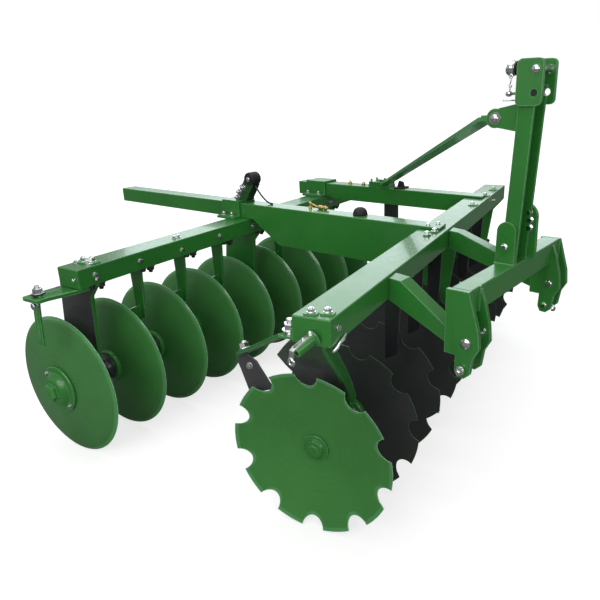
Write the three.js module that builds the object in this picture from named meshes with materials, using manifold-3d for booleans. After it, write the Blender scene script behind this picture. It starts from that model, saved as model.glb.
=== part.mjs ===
// Mounted offset disc harrow: a rigid frame with a three-point hitch over two disc gangs.
// Millimetres. +X points forward to the tractor, +Y to the left side, +Z up, and Z = 0 is the ground.
import * as THREE from 'three';
import { mergeVertices } from 'three/addons/utils/BufferGeometryUtils.js';
import Module from 'manifold-3d';

const wasm = await Module();
wasm.setup();

// ---- Driving dimensions ----

// Fits
const SEAT_GAP = 0.3;            // between pieces that touch
const RUNNING_GAP = 0.7;         // between a gang's journals and their bearings
const BORE_GAP = 0.8;            // between a shaft and the disc or plate that it passes through

// Disc gangs
const DISC_COUNT = 9;
const DISC_SPACING = 265;
const DISC_THICKNESS = 6;
const DISC_HUB_RADIUS = 74;      // flat middle that the spools clamp
const FRONT_DISC_RADIUS = 305;
const FRONT_DISH = 52;
const REAR_DISC_RADIUS = 315;
const REAR_DISH = 38;
const REAR_DISC_SIDES = 24;
const NOTCH_COUNT = 10;
const NOTCH_DEPTH = 44;
const SHAFT_RADIUS = 22;
const SPOOL_RADIUS = 46;
const SPOOL_FLANGE_RADIUS = 70;
const SPOOL_FLANGE_THICKNESS = 14;
const END_HUB_RADIUS = 34;
const FRONT_CAP = { radius: 53, thickness: 10, nutRadius: 26, nutThickness: 14 };
const REAR_CAP = { radius: 104, thickness: 12, nutRadius: 36, nutThickness: 46 };
const BEARING_RADIUS = 78;
const BEARING_LENGTH = 64;
const BEARING_GAPS = [0, 4, 7];  // gaps between discs that hold a bearing

// Gang places: ground point under the first disc's rim centre, and the swing of its axle
const FRONT_GANG = { x: 0, y: 0, angle: 12.45 };
const REAR_GANG = { x: -1180, y: -226, angle: 6.5 };

// Beams, in their own gang's frame: x forward of the axle, y along it
const BEAM_HEIGHT = 80;
const FRONT_BEAM = { top: 917, rear: 100, front: 218, near: -235, pastLastDisc: -35 };
const REAR_BEAM = { top: 849, rear: 60, front: 188, near: 12, pastLastDisc: 150 };

// Rails that join the beams, along X
const RAIL_WIDTH = 96;
const RAIL_SLIM_HEIGHT = 80;
const NEAR_RAIL = { side: 850, rear: -1203, depth: 196, deepRear: -905, deepStart: -1085 };
const FAR_RAIL = { side: 1600, rear: -1420, depth: 92, deepRear: -1150, deepStart: -1182 };
const RAIL_LAP = 95;             // how far a rail's top plate lies over the front beam
const EXTENSION_LENGTH = 1065;
const SADDLE = { rear: -1300, front: -1172, wall: 12, foot: 58 };
const FAR_SADDLE = { rear: -1345, front: -1195, wall: 12, foot: 58 };
const ADJUSTER = {
  rear: -1166, width: 88, lugGap: 22, lugThickness: 9,
  head: { x: -1122, z: 1018, radius: 22 },
  ring: { x: -1086, z: 1056, radius: 25, bar: 9 },
  lever: { x: -1000, z: 948, radius: 5 },
};
const RAIL_POST = { x: -742, size: 62, bottom: 690 };

// Hitch
const HITCH_CENTRE = 600;
const HITCH_SPREAD = 683;
const CLEVIS_WIDTH = 60;
const PLATE_THICKNESS = 16;
const CROSSBEAM = { rear: 391, front: 457, top: 917 };
const ARM_HEIGHT = 82;
const PIN_RADIUS = 14;
const ARM_END = 424;
const HITCH_PIN = { x: 455, z: 757 };
const LOWER_PIN = { x: 444, z: 668, radius: 9 };

// Mast
const MAST_WIDTH = 96;
const MAST_WALL = 10;
const MAST_DEPTH = 50;
const MAST_FOOT_X = 404;
const MAST_TOP = 1470;
const MAST_LEAN = 0.045;         // forward run for each millimetre of rise
const MAST_HEAD = { rear: 420, front: 500, bottom: 1413, top: 1547, thickness: 13 };
const TOP_LINK = { x: 478, z: 1516, radius: 12 };
const NEAR_LUG = { rear: 388, front: 456, top: 1058 };
const FAR_LUG = { rear: 388, front: 482, top: 1104 };
const LOWER_HOLE = { x: 476, z: 1450, radius: 11 };
const LUG_THICKNESS = 15;
const STRUT_PIN = { x: 350, z: 1376, radius: 12 };
const STRUT_LUG_GAP = 50;
const STRUT = { width: 52, thickness: 14, footX: -800, neck: 58 };

// Scrapers
const SCRAPER_GAPS = [1, 2, 3, 5, 6];  // gaps between discs that hold no bearing
const SCRAPER = {
  rackDrop: 20, rackHeight: 78, rackThickness: 10,
  stemThickness: 10, stemInset: 50, bladeThickness: 8,
};
const BLADE_GAP = 16;            // between a scraper's blade and its disc's rim plane
const FRONT_END_SCRAPER = {
  foot: 40, insideRim: 27, aboveRim: 12, barWidth: 46, barThickness: 12, bladeStart: 31, bladeThickness: 8,
};
const REAR_END_SCRAPER = { tip: -150, thickness: 14, arm: { x: 105, y: -125, bottom: 560, width: 40 } };

const FAR_AHEAD = 3000;          // longer than any piece, for cutting tools

const beamBottom = (beam) => beam.top - BEAM_HEIGHT;
const beamFar = (beam) => (DISC_COUNT - 1) * DISC_SPACING + beam.pastLastDisc;
const railTop = REAR_BEAM.top + SEAT_GAP + RAIL_SLIM_HEIGHT;

// ---- Materials ----

const paint = (color, roughness, metalness) => new THREE.MeshStandardMaterial({ color, roughness, metalness });
const greenPaint = () => paint(0x2f7d34, 0.32, 0.0);
const blackPaint = () => paint(0x232427, 0.4, 0.1);
const zincPlate = () => paint(0xb9bcbd, 0.35, 0.9);

// ---- Solids ----

function toManifold(geometry) {
  const plain = geometry.index ? geometry.toNonIndexed() : geometry;
  plain.deleteAttribute('normal');
  plain.deleteAttribute('uv');
  const merged = mergeVertices(plain, 1e-3);
  const vertProperties = new Float32Array(merged.attributes.position.array);
  const triVerts = new Uint32Array(merged.index.array);
  return new wasm.Manifold(new wasm.Mesh({ numProp: 3, vertProperties, triVerts }));
}

function toGeometry(manifold) {
  const { vertProperties, triVerts } = manifold.getMesh();
  const geometry = new THREE.BufferGeometry();
  geometry.setAttribute('position', new THREE.BufferAttribute(new Float32Array(vertProperties), 3));
  geometry.setIndex(new THREE.BufferAttribute(new Uint32Array(triVerts), 1));
  geometry.computeVertexNormals();
  return geometry;
}

const join = (...solids) => solids.reduce((whole, solid) => whole.add(solid));
const cut = (solid, ...tools) => tools.reduce((left, tool) => left.subtract(tool), solid);

function block(x0, x1, y0, y1, z0, z1) {
  const geometry = new THREE.BoxGeometry(x1 - x0, y1 - y0, z1 - z0);
  geometry.translate((x0 + x1) / 2, (y0 + y1) / 2, (z0 + z1) / 2);
  return toManifold(geometry);
}

// A plate: its outline lies in the X-Z plane and it is as thick as y0 to y1.
function plate(shape, y0, y1, curveSegments = 6) {
  const geometry = new THREE.ExtrudeGeometry(shape, { depth: y1 - y0, bevelEnabled: false, curveSegments });
  geometry.rotateX(Math.PI / 2);
  geometry.translate(0, y1, 0);
  return toManifold(geometry);
}

// A level plate: its outline lies in the X-Y plane.
function levelPlate(points, z0, z1) {
  const geometry = new THREE.ExtrudeGeometry(outline(points), { depth: z1 - z0, bevelEnabled: false });
  geometry.translate(0, 0, z0);
  return toManifold(geometry);
}

function outline(points) {
  return new THREE.Shape(points.map(([x, z]) => new THREE.Vector2(x, z)));
}

// A round bar along Y.
function roundBar(x, z, radius, y0, y1, sides = 16) {
  const geometry = new THREE.CylinderGeometry(radius, radius, y1 - y0, sides);
  geometry.translate(x, (y0 + y1) / 2, z);
  return toManifold(geometry);
}

// A bar of rectangular section through level sections: each is [x, y, z, width in X, width in Y].
function levelBar(sections) {
  const points = [];
  const faces = [];
  for (const [x, y, z, wx, wy] of sections) {
    for (const [sx, sy] of [[-1, -1], [1, -1], [1, 1], [-1, 1]]) {
      points.push(x + (sx * wx) / 2, y + (sy * wy) / 2, z);
    }
  }
  for (let level = 0; level + 1 < sections.length; level += 1) {
    for (let side = 0; side < 4; side += 1) {
      const a = level * 4 + side;
      const b = level * 4 + ((side + 1) % 4);
      faces.push(a, b, b + 4, a, b + 4, a + 4);
    }
  }
  const last = (sections.length - 1) * 4;
  faces.push(0, 2, 1, 0, 3, 2, last, last + 1, last + 2, last, last + 2, last + 3);
  const geometry = new THREE.BufferGeometry();
  geometry.setAttribute('position', new THREE.Float32BufferAttribute(points, 3));
  geometry.setIndex(faces);
  return toManifold(geometry);
}

// ---- Scene graph ----

const harrow = new THREE.Group();
const frontGang = new THREE.Group();
const rearGang = new THREE.Group();
for (const [group, place] of [[frontGang, FRONT_GANG], [rearGang, REAR_GANG]]) {
  group.position.set(place.x, place.y, 0);
  group.rotation.z = THREE.MathUtils.degToRad(place.angle);
  harrow.add(group);
}

function addPiece(group, name, solid, material) {
  const geometry = solid.getMesh ? toGeometry(solid) : solid;
  const mesh = new THREE.Mesh(geometry, material);
  mesh.name = name;
  group.add(mesh);
  return mesh;
}

// A solid made in a gang's frame, moved into the harrow's frame.
function inHarrow(solid, place) {
  return solid.rotate([0, 0, place.angle]).translate([place.x, place.y, 0]);
}

// ---- Discs ----

// Rim radius at each step round a disc, from the middle of a tooth: two flanks and the bottom of the next notch.
const NOTCH_STEPS = [0, 0, NOTCH_DEPTH, NOTCH_DEPTH, 0];
const notchedRim = (index) => FRONT_DISC_RADIUS - NOTCH_STEPS[index % NOTCH_STEPS.length];
const plainRim = () => REAR_DISC_RADIUS;

// A disc's rim is a polygon that stands on one of its sides, so its axle is a little under a radius up.
const FRONT_SIDES = NOTCH_COUNT * NOTCH_STEPS.length;
const FRONT_AXLE_HEIGHT = FRONT_DISC_RADIUS * Math.cos(Math.PI / FRONT_SIDES);
const REAR_AXLE_HEIGHT = REAR_DISC_RADIUS * Math.cos(Math.PI / REAR_DISC_SIDES);

// A dished disc round the Y axis. Its rim lies at y = 0 and its middle at y = dish. It is turned by start.
function dishedDisc(radius, dish, rimRadius, sides, start) {
  const bore = SHAFT_RADIUS + BORE_GAP;
  const rings = [
    { radius: () => bore, y: dish },
    { radius: () => DISC_HUB_RADIUS, y: dish },
    { radius: () => (DISC_HUB_RADIUS + radius) / 2, y: dish * 0.62 },
    { radius: rimRadius, y: 0 },
  ];
  const points = [];
  for (const offset of [0, DISC_THICKNESS]) {
    for (const ring of rings) {
      for (let i = 0; i < sides; i += 1) {
        const turn = (i / sides) * 2 * Math.PI + start;
        const r = ring.radius(i);
        points.push(r * Math.sin(turn), ring.y + offset, -r * Math.cos(turn));
      }
    }
  }
  const faces = [];
  const quad = (a, b, c, d) => faces.push(a, c, b, a, d, c);
  const at = (layer, ring, i) => (layer * rings.length + ring) * sides + (i % sides);
  for (let i = 0; i < sides; i += 1) {
    for (let ring = 0; ring + 1 < rings.length; ring += 1) {
      quad(at(0, ring, i), at(0, ring, i + 1), at(0, ring + 1, i + 1), at(0, ring + 1, i));
      quad(at(1, ring, i), at(1, ring + 1, i), at(1, ring + 1, i + 1), at(1, ring, i + 1));
    }
    const rim = rings.length - 1;
    quad(at(0, rim, i), at(0, rim, i + 1), at(1, rim, i + 1), at(1, rim, i));
    quad(at(0, 0, i), at(1, 0, i), at(1, 0, i + 1), at(0, 0, i + 1));
  }
  const geometry = new THREE.BufferGeometry();
  geometry.setAttribute('position', new THREE.Float32BufferAttribute(points, 3));
  geometry.setIndex(faces);
  geometry.computeVertexNormals();
  return geometry;
}

// ---- Axles: shaft, spools and end caps, turned round the Y axis ----

// dish is where the discs' middles lie from their rims along +Y, so it is negative on the rear gang.
function gangAxle(dish, cap) {
  const profile = [];
  const first = dish - SEAT_GAP;
  profile.push([0, first - cap.thickness - cap.nutThickness]);
  profile.push([cap.nutRadius, first - cap.thickness - cap.nutThickness]);
  profile.push([cap.nutRadius, first - cap.thickness]);
  profile.push([cap.radius, first - cap.thickness]);
  profile.push([cap.radius, first]);
  profile.push([SHAFT_RADIUS, first]);
  for (let gap = 0; gap + 1 < DISC_COUNT; gap += 1) {
    const start = gap * DISC_SPACING + dish + DISC_THICKNESS + SEAT_GAP;
    const end = (gap + 1) * DISC_SPACING + dish - SEAT_GAP;
    profile.push([SHAFT_RADIUS, start]);
    profile.push([SPOOL_FLANGE_RADIUS, start]);
    profile.push([SPOOL_RADIUS, start + SPOOL_FLANGE_THICKNESS]);
    profile.push([SPOOL_RADIUS, end - SPOOL_FLANGE_THICKNESS]);
    profile.push([SPOOL_FLANGE_RADIUS, end]);
    profile.push([SHAFT_RADIUS, end]);
  }
  const last = (DISC_COUNT - 1) * DISC_SPACING + dish + DISC_THICKNESS + SEAT_GAP;
  profile.push([SHAFT_RADIUS, last]);
  profile.push([FRONT_CAP.radius, last]);
  profile.push([FRONT_CAP.radius, last + FRONT_CAP.thickness]);
  profile.push([END_HUB_RADIUS, last + FRONT_CAP.thickness]);
  profile.push([END_HUB_RADIUS, last + FRONT_CAP.thickness + FRONT_CAP.nutThickness]);
  profile.push([0, last + FRONT_CAP.thickness + FRONT_CAP.nutThickness]);
  const geometry = new THREE.LatheGeometry(profile.map(([r, y]) => new THREE.Vector2(r, y)), 12);
  return toGeometry(toManifold(geometry));
}

const bearingPlace = (gap, dish) => (gap + 0.5) * DISC_SPACING + dish + DISC_THICKNESS / 2;

function buildGang(group, prefix, radius, height, dish, sides, rim, startOf, materialOf, cap) {
  const axle = addPiece(group, `${prefix}_gang_axle`, gangAxle(dish, cap), blackPaint());
  axle.position.z = height;
  for (let n = 0; n < DISC_COUNT; n += 1) {
    const geometry = dishedDisc(radius, dish, rim, sides, startOf(n));
    const disc = addPiece(group, `${prefix}_disc_${n + 1}`, geometry, materialOf(n));
    disc.position.set(0, n * DISC_SPACING, height);
  }
}

buildGang(
  frontGang, 'front', FRONT_DISC_RADIUS, FRONT_AXLE_HEIGHT, FRONT_DISH, FRONT_SIDES, notchedRim,
  (n) => (n % 2 === 0 ? Math.PI / NOTCH_COUNT : Math.PI / FRONT_SIDES),
  (n) => (n === 0 ? greenPaint() : blackPaint()), FRONT_CAP,
);
buildGang(
  rearGang, 'rear', REAR_DISC_RADIUS, REAR_AXLE_HEIGHT, -REAR_DISH, REAR_DISC_SIDES, plainRim,
  () => Math.PI / REAR_DISC_SIDES, greenPaint, REAR_CAP,
);

// ---- Beams ----

function beamSolid(beam) {
  return block(beam.rear, beam.front, beam.near, beamFar(beam), beamBottom(beam), beam.top);
}
addPiece(frontGang, 'front_beam', beamSolid(FRONT_BEAM), greenPaint());
addPiece(rearGang, 'rear_beam', beamSolid(REAR_BEAM), greenPaint());

// ---- Bearing hangers ----

// A bearing ring on the axle, joined to a leg and bored for the journal.
function withBearing(leg, y, height) {
  const ring = roundBar(0, height, BEARING_RADIUS, y - BEARING_LENGTH / 2, y + BEARING_LENGTH / 2, 16);
  const bore = roundBar(0, height, SPOOL_RADIUS + RUNNING_GAP, y - BEARING_LENGTH, y + BEARING_LENGTH, 24);
  return cut(join(leg, ring), bore);
}

// A straight hanger: a wide plate from under the beam down to the axle.
function plateHanger(beam, y, height) {
  const top = beamBottom(beam) - SEAT_GAP;
  const shape = outline([
    [-BEARING_RADIUS * 0.8, height],
    [-92, height + 170],
    [beam.rear - 118, top],
    [beam.front, top],
    [beam.front - 52, top - 60],
    [118, height + 120],
    [BEARING_RADIUS * 0.8, height],
  ]);
  return withBearing(plate(shape, y - 10, y + 10), y, height);
}

// The front gang's near hanger starts under the end of the beam and leans in over the first disc.
function leaningHanger(beam, y, height) {
  const top = beamBottom(beam) - SEAT_GAP;
  const clearHeight = 2 * FRONT_DISC_RADIUS + 14;
  const rise = (share) => clearHeight + (top - clearHeight) * share;
  const leg = levelBar([
    [0, y, height, 96, 40],
    [14, y, height + 140, 146, 44],
    [20, 40, clearHeight, 206, 48],
    [44, -47, rise(0.366), 204, 48],
    [beam.rear + 6, -150, rise(0.776), 146, 48],
    [beam.rear + 42, beam.near + 30, top, 114, 48],
  ]);
  return withBearing(leg, y, height);
}

const frontBearing = (gap) => bearingPlace(gap, FRONT_DISH);
const rearBearing = (gap) => bearingPlace(gap, -REAR_DISH);
BEARING_GAPS.forEach((gap, i) => {
  const front = i === 0
    ? leaningHanger(FRONT_BEAM, frontBearing(gap), FRONT_AXLE_HEIGHT)
    : plateHanger(FRONT_BEAM, frontBearing(gap), FRONT_AXLE_HEIGHT);
  addPiece(frontGang, `front_hanger_${i + 1}`, front, greenPaint());
  const rear = plateHanger(REAR_BEAM, rearBearing(gap), REAR_AXLE_HEIGHT);
  addPiece(rearGang, `rear_hanger_${i + 1}`, rear, greenPaint());
});

// ---- Scrapers ----

const rackBottom = (beam) => beamBottom(beam) - SCRAPER.rackDrop;

// A rack on the beam's rear face. A stem comes forward under the beam in each gap that has no hanger,
// and its blade reaches to a disc's hollow side.
function scraperRack(beam, height, bearing, bladeOffset) {
  const { rackHeight, rackThickness, stemThickness, stemInset, bladeThickness } = SCRAPER;
  const back = beam.rear - SEAT_GAP;
  const under = beamBottom(beam) - SEAT_GAP;
  const front = beam.front - stemInset;
  const low = rackBottom(beam);
  const shape = outline([
    [back - rackThickness, low],
    [back - rackThickness, under],
    [front, under],
    [front - 14, height + 215],
    [front - 64, height + 185],
    [beam.rear + 2, low],
  ]);
  let rack = block(
    back - rackThickness, back, bearing(SCRAPER_GAPS[0]) - 40, bearing(SCRAPER_GAPS.at(-1)) + 40,
    beamBottom(beam) + 4, low + rackHeight,
  );
  for (const gap of SCRAPER_GAPS) {
    const y = bearing(gap);
    const tip = gap * DISC_SPACING + bladeOffset;
    const bladeX = front - 52;
    rack = join(
      rack,
      block(back - rackThickness, back, y - 25, y + 25, low, beamBottom(beam) + 14),
      plate(shape, y - stemThickness / 2, y + stemThickness / 2),
      block(bladeX, bladeX + bladeThickness, Math.min(y, tip), Math.max(y, tip), height + 205, height + 265),
    );
  }
  return rack;
}
const frontBlade = DISC_SPACING - BLADE_GAP;
const rearBlade = DISC_THICKNESS + BLADE_GAP;
addPiece(
  frontGang, 'front_scrapers', scraperRack(FRONT_BEAM, FRONT_AXLE_HEIGHT, frontBearing, frontBlade), blackPaint(),
);
addPiece(
  rearGang, 'rear_scrapers', scraperRack(REAR_BEAM, REAR_AXLE_HEIGHT, rearBearing, rearBlade), greenPaint(),
);

// ---- End scrapers ----

// A flat bar between two points, with its width level.
function flatBar(from, to, width, thickness) {
  const along = new THREE.Vector3().subVectors(to, from);
  const length = along.length();
  along.normalize();
  const across = new THREE.Vector3(0, 0, 1).cross(along).normalize();
  const up = new THREE.Vector3().crossVectors(along, across);
  const geometry = new THREE.BoxGeometry(length, width, thickness);
  const basis = new THREE.Matrix4().makeBasis(along, across, up);
  basis.setPosition(from.clone().add(to).multiplyScalar(0.5));
  geometry.applyMatrix4(basis);
  return toManifold(geometry);
}

// On the front gang a bar slopes back from the beam's rear face, and its blade hangs behind the first rim.
function frontEndScraper(beam) {
  const { foot, insideRim, aboveRim, barWidth, barThickness, bladeStart, bladeThickness } = FRONT_END_SCRAPER;
  const tip = {
    x: insideRim - FRONT_DISC_RADIUS, y: bladeStart + bladeThickness / 2, z: 2 * FRONT_DISC_RADIUS + aboveRim,
  };
  const low = beamBottom(beam);
  const rootY = beam.near + 23;
  const blade = outline([
    [tip.x - 22, tip.z - 16],
    [tip.x + 16, tip.z + 12],
    [tip.x + 70, tip.z - 18],
    [tip.x + 136, tip.z - 112],
    [tip.x + 36, tip.z - 150],
    [tip.x + 3, tip.z - 54],
  ]);
  return join(
    block(beam.rear - SEAT_GAP - foot, beam.rear - SEAT_GAP, beam.near + 4, beam.near + 62, low + 4, low + 38),
    flatBar(
      new THREE.Vector3(beam.rear - foot, rootY, low + 11),
      new THREE.Vector3(tip.x, tip.y, tip.z), barWidth, barThickness,
    ),
    plate(blade, bladeStart, bladeStart + bladeThickness),
  );
}
addPiece(frontGang, 'front_end_scraper', frontEndScraper(FRONT_BEAM), blackPaint());

// On the rear gang a broad plate runs out from under the beam, and its arm hangs in front of the first disc.
function rearEndScraper(beam) {
  const { tip, thickness, arm } = REAR_END_SCRAPER;
  const top = beamBottom(beam) - SEAT_GAP;
  const bar = levelPlate([
    [beam.rear - 2, beam.near + 48],
    [beam.front - 5, beam.near + 48],
    [beam.front - 38, tip + 32],
    [beam.front - 56, tip],
    [beam.rear, tip],
    [beam.rear - 16, tip + 12],
  ], top - thickness, top);
  const stem = levelBar([
    [arm.x - 24, arm.y, arm.bottom, arm.width, 9],
    [arm.x, arm.y, top - thickness + 2, arm.width, 10],
  ]);
  return join(bar, stem);
}
addPiece(rearGang, 'rear_end_scraper', rearEndScraper(REAR_BEAM), greenPaint());

// ---- Rails and what sits on them ----

// Everything from the front beam's rear face forward, up to its top, in the harrow's frame.
const frontBeamRoom = inHarrow(
  block(
    FRONT_BEAM.rear - SEAT_GAP, FAR_AHEAD, -FAR_AHEAD, FAR_AHEAD,
    -FAR_AHEAD, FRONT_BEAM.top + SEAT_GAP,
  ), FRONT_GANG,
);
const pastRailLap = inHarrow(
  block(FRONT_BEAM.rear + RAIL_LAP, FAR_AHEAD, -FAR_AHEAD, FAR_AHEAD, -FAR_AHEAD, FAR_AHEAD), FRONT_GANG,
);

// Where the front scraper rack passes, so each rail's end is notched over it.
const frontRackRoom = inHarrow(
  block(
    FRONT_BEAM.rear - SCRAPER.rackThickness - 2 * SEAT_GAP, FAR_AHEAD, -FAR_AHEAD, FAR_AHEAD,
    rackBottom(FRONT_BEAM) - SEAT_GAP, rackBottom(FRONT_BEAM) + SCRAPER.rackHeight + SEAT_GAP,
  ), FRONT_GANG,
);

function railSolid(rail) {
  const slimBottom = railTop - RAIL_SLIM_HEIGHT;
  const shape = outline([
    [rail.rear, railTop],
    [rail.rear, slimBottom],
    [rail.deepStart, slimBottom],
    [rail.deepRear, railTop - rail.depth],
    [300, railTop - rail.depth],
    [300, railTop],
  ].reverse());
  return cut(plate(shape, rail.side, rail.side + RAIL_WIDTH), frontBeamRoom, pastRailLap, frontRackRoom);
}
addPiece(harrow, 'near_rail', railSolid(NEAR_RAIL), greenPaint());
addPiece(harrow, 'far_rail', railSolid(FAR_RAIL), greenPaint());

const extensionBar = block(
  NEAR_RAIL.rear - SEAT_GAP - EXTENSION_LENGTH, NEAR_RAIL.rear - SEAT_GAP,
  NEAR_RAIL.side, NEAR_RAIL.side + RAIL_WIDTH,
  railTop - RAIL_SLIM_HEIGHT, railTop,
);
addPiece(harrow, 'extension_bar', extensionBar, greenPaint());

// An inverted channel over a rail, with a foot on each side that bolts to the rear beam.
function saddleSolid(rail, saddle) {
  const inner = { low: rail.side - SEAT_GAP, high: rail.side + RAIL_WIDTH + SEAT_GAP };
  const bottom = REAR_BEAM.top + SEAT_GAP;
  const roof = railTop + SEAT_GAP;
  const { rear, front, wall, foot } = saddle;
  return join(
    block(rear, front, inner.low - wall, inner.high + wall, roof, roof + wall),
    block(rear, front, inner.low - wall, inner.low, bottom, roof + 1),
    block(rear, front, inner.high, inner.high + wall, bottom, roof + 1),
    block(rear, front, inner.low - foot, inner.low - 1, bottom, bottom + wall),
    block(rear, front, inner.high + 1, inner.high + foot, bottom, bottom + wall),
  );
}
addPiece(harrow, 'near_saddle', saddleSolid(NEAR_RAIL, SADDLE), greenPaint());
addPiece(harrow, 'far_saddle', saddleSolid(FAR_RAIL, FAR_SADDLE), greenPaint());

// Angle adjuster on top of the near rail, just ahead of its saddle
const adjusterY = NEAR_RAIL.side + RAIL_WIDTH / 2;
const adjusterBase = railTop + SEAT_GAP;
function adjusterBracket() {
  const { rear, width, lugGap, lugThickness, head } = ADJUSTER;
  const low = adjusterBase + 9;
  const lug = new THREE.Shape();
  lug.moveTo(rear + 6, low);
  lug.lineTo(rear + width - 14, low);
  lug.lineTo(head.x + head.radius, head.z);
  lug.absarc(head.x, head.z, head.radius, 0, Math.PI, false);
  lug.lineTo(rear + 6, low);
  return join(
    block(rear, rear + width, adjusterY - 36, adjusterY + 36, adjusterBase, adjusterBase + 10),
    plate(lug, adjusterY - lugGap / 2 - lugThickness, adjusterY - lugGap / 2, 5),
    plate(lug, adjusterY + lugGap / 2, adjusterY + lugGap / 2 + lugThickness, 5),
    roundBar(head.x, head.z, 7, adjusterY - lugGap / 2 - 1, adjusterY + lugGap / 2 + 1, 10),
  );
}
function adjusterLever() {
  const { head, ring, lever } = ADJUSTER;
  const profile = [];
  for (let i = 0; i <= 8; i += 1) {
    const turn = (i / 8) * 2 * Math.PI;
    profile.push(new THREE.Vector2(ring.radius + ring.bar * Math.cos(turn), ring.bar * Math.sin(turn)));
  }
  const loop = new THREE.LatheGeometry(profile, 18);
  loop.translate(ring.x, adjusterY, ring.z);
  const eye = cut(
    roundBar(head.x, head.z, 15, adjusterY - 8, adjusterY + 8, 14),
    roundBar(head.x, head.z, 7 + SEAT_GAP, adjusterY - 20, adjusterY + 20, 10),
  );
  const reach = new THREE.Vector2(ring.x - head.x, ring.z - head.z).length();
  const shank = block(0, 1, -6, 6, -6, 6);
  const shankLength = reach - 13 - ring.radius;
  const turn = THREE.MathUtils.radToDeg(Math.atan2(ring.z - head.z, ring.x - head.x));
  const link = shank.scale([shankLength, 1, 1]).translate([13, 0, 0]).rotate([0, -turn, 0])
    .translate([head.x, adjusterY, head.z]);
  const path = new THREE.CatmullRomCurve3([
    new THREE.Vector3(ring.x + 4, adjusterY, ring.z - ring.radius),
    new THREE.Vector3((ring.x + lever.x) / 2 - 8, adjusterY, (ring.z - ring.radius + lever.z) / 2 - 8),
    new THREE.Vector3(lever.x, adjusterY, lever.z),
  ]);
  const section = new THREE.Shape();
  section.absarc(0, 0, lever.radius, 0, 2 * Math.PI, false);
  const rod = new THREE.ExtrudeGeometry(section, { steps: 8, extrudePath: path, curveSegments: 4 });
  return join(toManifold(loop), eye, link, toManifold(rod));
}
addPiece(harrow, 'adjuster_bracket', adjusterBracket(), greenPaint());
addPiece(harrow, 'adjuster_lever', adjusterLever(), blackPaint());

const postY = FAR_RAIL.side + RAIL_WIDTH / 2;
const railPost = block(
  RAIL_POST.x - RAIL_POST.size / 2, RAIL_POST.x + RAIL_POST.size / 2,
  postY - RAIL_POST.size / 2, postY + RAIL_POST.size / 2,
  RAIL_POST.bottom, railTop - FAR_RAIL.depth - SEAT_GAP,
);
addPiece(harrow, 'rail_post', railPost, blackPaint());

// ---- Hitch ----

const clevisCentres = { near: HITCH_CENTRE - HITCH_SPREAD / 2, far: HITCH_CENTRE + HITCH_SPREAD / 2 };
const crossbeamBottom = CROSSBEAM.top - BEAM_HEIGHT;
const crossbeamEnd = CLEVIS_WIDTH / 2 - SEAT_GAP;
const crossbeam = block(
  CROSSBEAM.rear, CROSSBEAM.front, clevisCentres.near - crossbeamEnd, clevisCentres.far + crossbeamEnd,
  crossbeamBottom, CROSSBEAM.top,
);
addPiece(harrow, 'hitch_crossbeam', crossbeam, greenPaint());

// Everything behind the front beam's front face.
const behindBeamFace = inHarrow(
  block(-FAR_AHEAD, FRONT_BEAM.front + SEAT_GAP, -FAR_AHEAD, FAR_AHEAD, -FAR_AHEAD, FAR_AHEAD), FRONT_GANG,
);

// The lower part that both plates of a bracket share: nose, pin boss and lower lug.
function bracketNose() {
  const { x, z } = LOWER_PIN;
  return [
    [HITCH_PIN.x + 37, HITCH_PIN.z + 41],
    [HITCH_PIN.x + 42, HITCH_PIN.z - 12],
    [x + 34, z + 42],
    [x + 26, z - 12],
    [x + 8, z - 28],
    [x - 14, z - 26],
    [x - 24, z - 6],
    [x - 22, z + 44],
  ];
}
function hitchPlate(y0, isOuter) {
  const rear = CROSSBEAM.rear - 7;
  const underBeam = crossbeamBottom - SEAT_GAP;
  const points = isOuter
    ? [[rear, CROSSBEAM.top], [rear, HITCH_PIN.z - 44], ...bracketNose().reverse(), [CROSSBEAM.front, CROSSBEAM.top]]
    : [[rear, underBeam], [rear, HITCH_PIN.z - 44], ...bracketNose().reverse(),
      [CROSSBEAM.front + 18, CROSSBEAM.top - 52], [CROSSBEAM.front + SEAT_GAP, CROSSBEAM.top - 8],
      [CROSSBEAM.front + SEAT_GAP, underBeam]];
  const solid = plate(outline(points), y0, y0 + PLATE_THICKNESS);
  return cut(
    solid,
    roundBar(HITCH_PIN.x, HITCH_PIN.z, PIN_RADIUS + BORE_GAP, y0 - 5, y0 + PLATE_THICKNESS + 5),
    roundBar(LOWER_PIN.x, LOWER_PIN.z, LOWER_PIN.radius + BORE_GAP, y0 - 5, y0 + PLATE_THICKNESS + 5),
  );
}
function hitchPin(centre, place, radius) {
  const half = CLEVIS_WIDTH / 2 + PLATE_THICKNESS + 9;
  const headSide = centre < HITCH_CENTRE ? -1 : 1;
  const head = centre + headSide * (half - 3);
  return join(
    roundBar(place.x, place.z, radius, centre - half, centre + half),
    roundBar(place.x, place.z, radius + 6, head - 3, head + 3),
  );
}
function drawbarArm(centre) {
  const half = CLEVIS_WIDTH / 2 - SEAT_GAP;
  const rootX = (FRONT_BEAM.front - Math.sin(THREE.MathUtils.degToRad(FRONT_GANG.angle)) * centre)
    / Math.cos(THREE.MathUtils.degToRad(FRONT_GANG.angle));
  const top = CROSSBEAM.top - 2;
  const shape = outline([
    [rootX - 60, top],
    [rootX - 60, top - ARM_HEIGHT],
    [rootX + 10, top - ARM_HEIGHT],
    [ARM_END, HITCH_PIN.z - 42],
    [ARM_END, HITCH_PIN.z + 16],
    [CROSSBEAM.rear - 15, crossbeamBottom - 44],
    [rootX + 50, top - 10],
  ]);
  return cut(plate(shape, centre - half, centre + half), behindBeamFace);
}
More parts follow.
